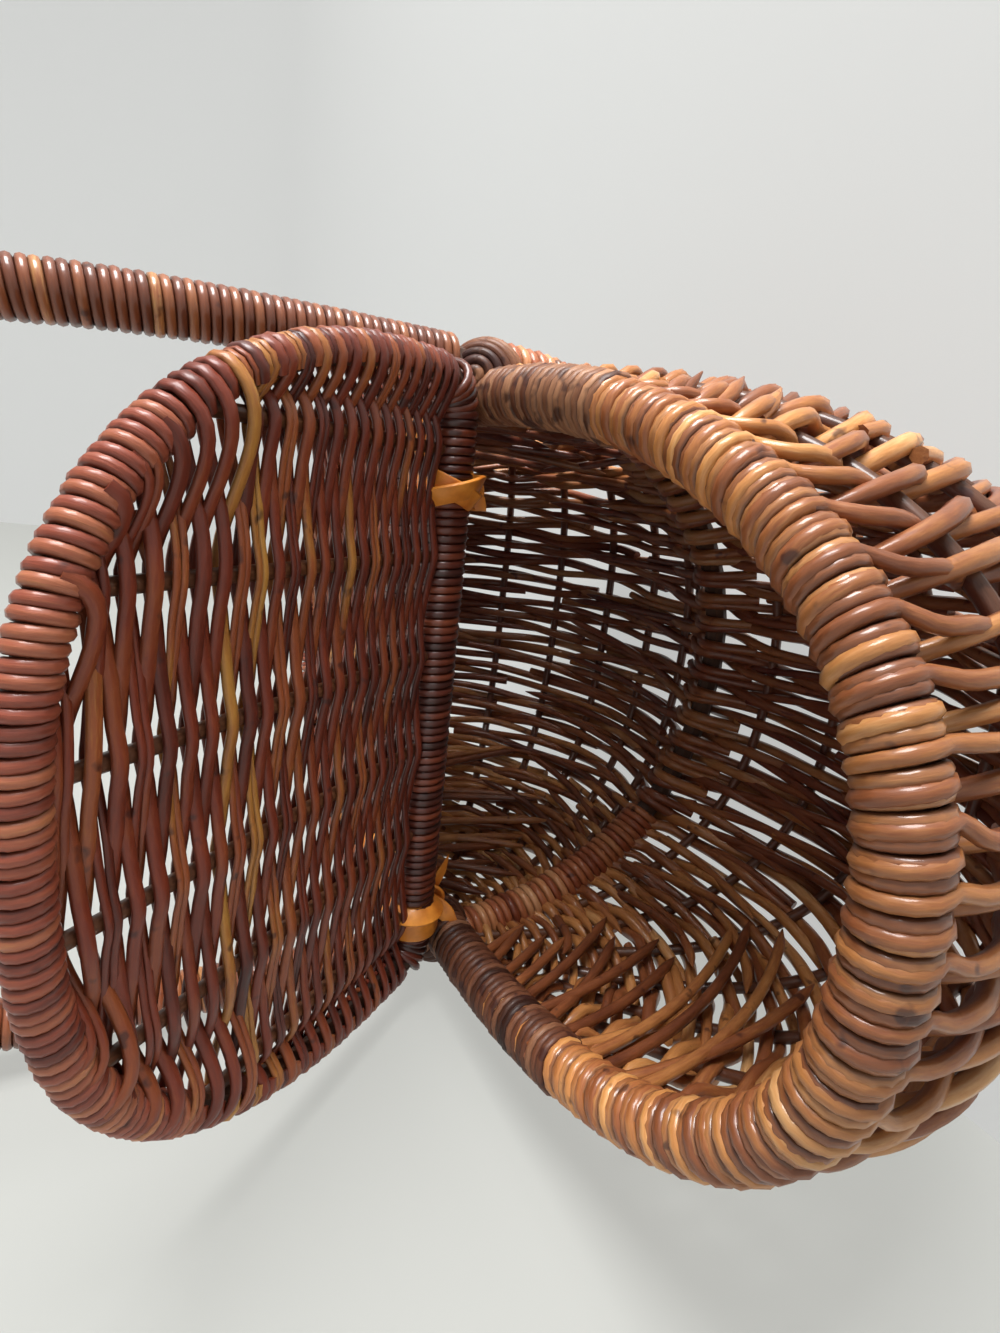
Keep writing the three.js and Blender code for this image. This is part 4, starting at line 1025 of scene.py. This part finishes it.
reach, backAt, cove = studio["reach"], studio["backAt"], studio["cove"]
bend = np.linspace(0, math.pi / 2, 13)
curve = zip(backAt - cove + cove * np.sin(bend), cove - cove * np.cos(bend))
sweepLine = [(-reach, 0), *curve, (backAt, reach)]
stageSheet("floor", [[(-reach, y, z), (reach, y, z)] for y, z in sweepLine],
           paperMaterial("matPaper", studio["paper"], studio["paperSeen"], False))
wall, nearEnd = studio["clothAt"], studio["clothFrom"]
stageSheet("sideCloth", [[(wall, nearEnd, z), (wall, backAt, z)] for z in (0, reach)],
           paperMaterial("matCloth", studio["cloth"], studio["clothSeen"], True))

world = bpy.data.worlds.new("paleRoom")
scene.world = world
world.use_nodes = True
sky = world.node_tree
sky.nodes.clear()
room = addNode(sky, "ShaderNodeBackground", {
    "Color": linear(studio["room"]), "Strength": studio["roomStrength"]})[0]
seen = addNode(sky, "ShaderNodeBackground", {"Color": linear(studio["roomSeen"]), "Strength": 1.0})[0]
mixed = addNode(sky, "ShaderNodeMixShader", {0: seenDirectly(sky), 1: room, 2: seen})[0]
addNode(sky, "ShaderNodeOutputWorld", {"Surface": mixed})

middle = Vector((0, 0, rimHeight))
for name, lamp in lamps.items():
    light = bpy.data.lights.new(name, "AREA")
    light.shape = "SQUARE"
    light.size = lamp["size"]
    light.energy = lamp["power"]
    lampObject = bpy.data.objects.new(name, light)
    scene.collection.objects.link(lampObject)
    lampObject.location = lamp["place"]
    lampObject.rotation_euler = (middle - Vector(lamp["place"])).to_track_quat("-Z", "Y").to_euler()

sensor = 36
view = {
    "place": (58.76 * mm, -178.31 * mm, rimHeight + 88.5 * mm),
    "lens": 693.86 / 1333 * sensor,  # focal length over picture height, both in pixels
    "right": (0.10634, -0.47109, -0.87565), "up": (0.96103, 0.27468, -0.03106),
    "forward": (-0.25516, 0.83823, -0.48194),
}
camera = bpy.data.objects.new("camera", bpy.data.cameras.new("camera"))
scene.collection.objects.link(camera)
camera.data.sensor_width = sensor
camera.data.lens = view["lens"]
camera.data.clip_start = 5 * mm
turned = Matrix((view["right"], view["up"], -Vector(view["forward"]))).transposed().to_4x4()
camera.matrix_world = Matrix.Translation(view["place"]) @ turned
scene.camera = camera
scene.view_settings.view_transform = "Standard"

print("studio made")
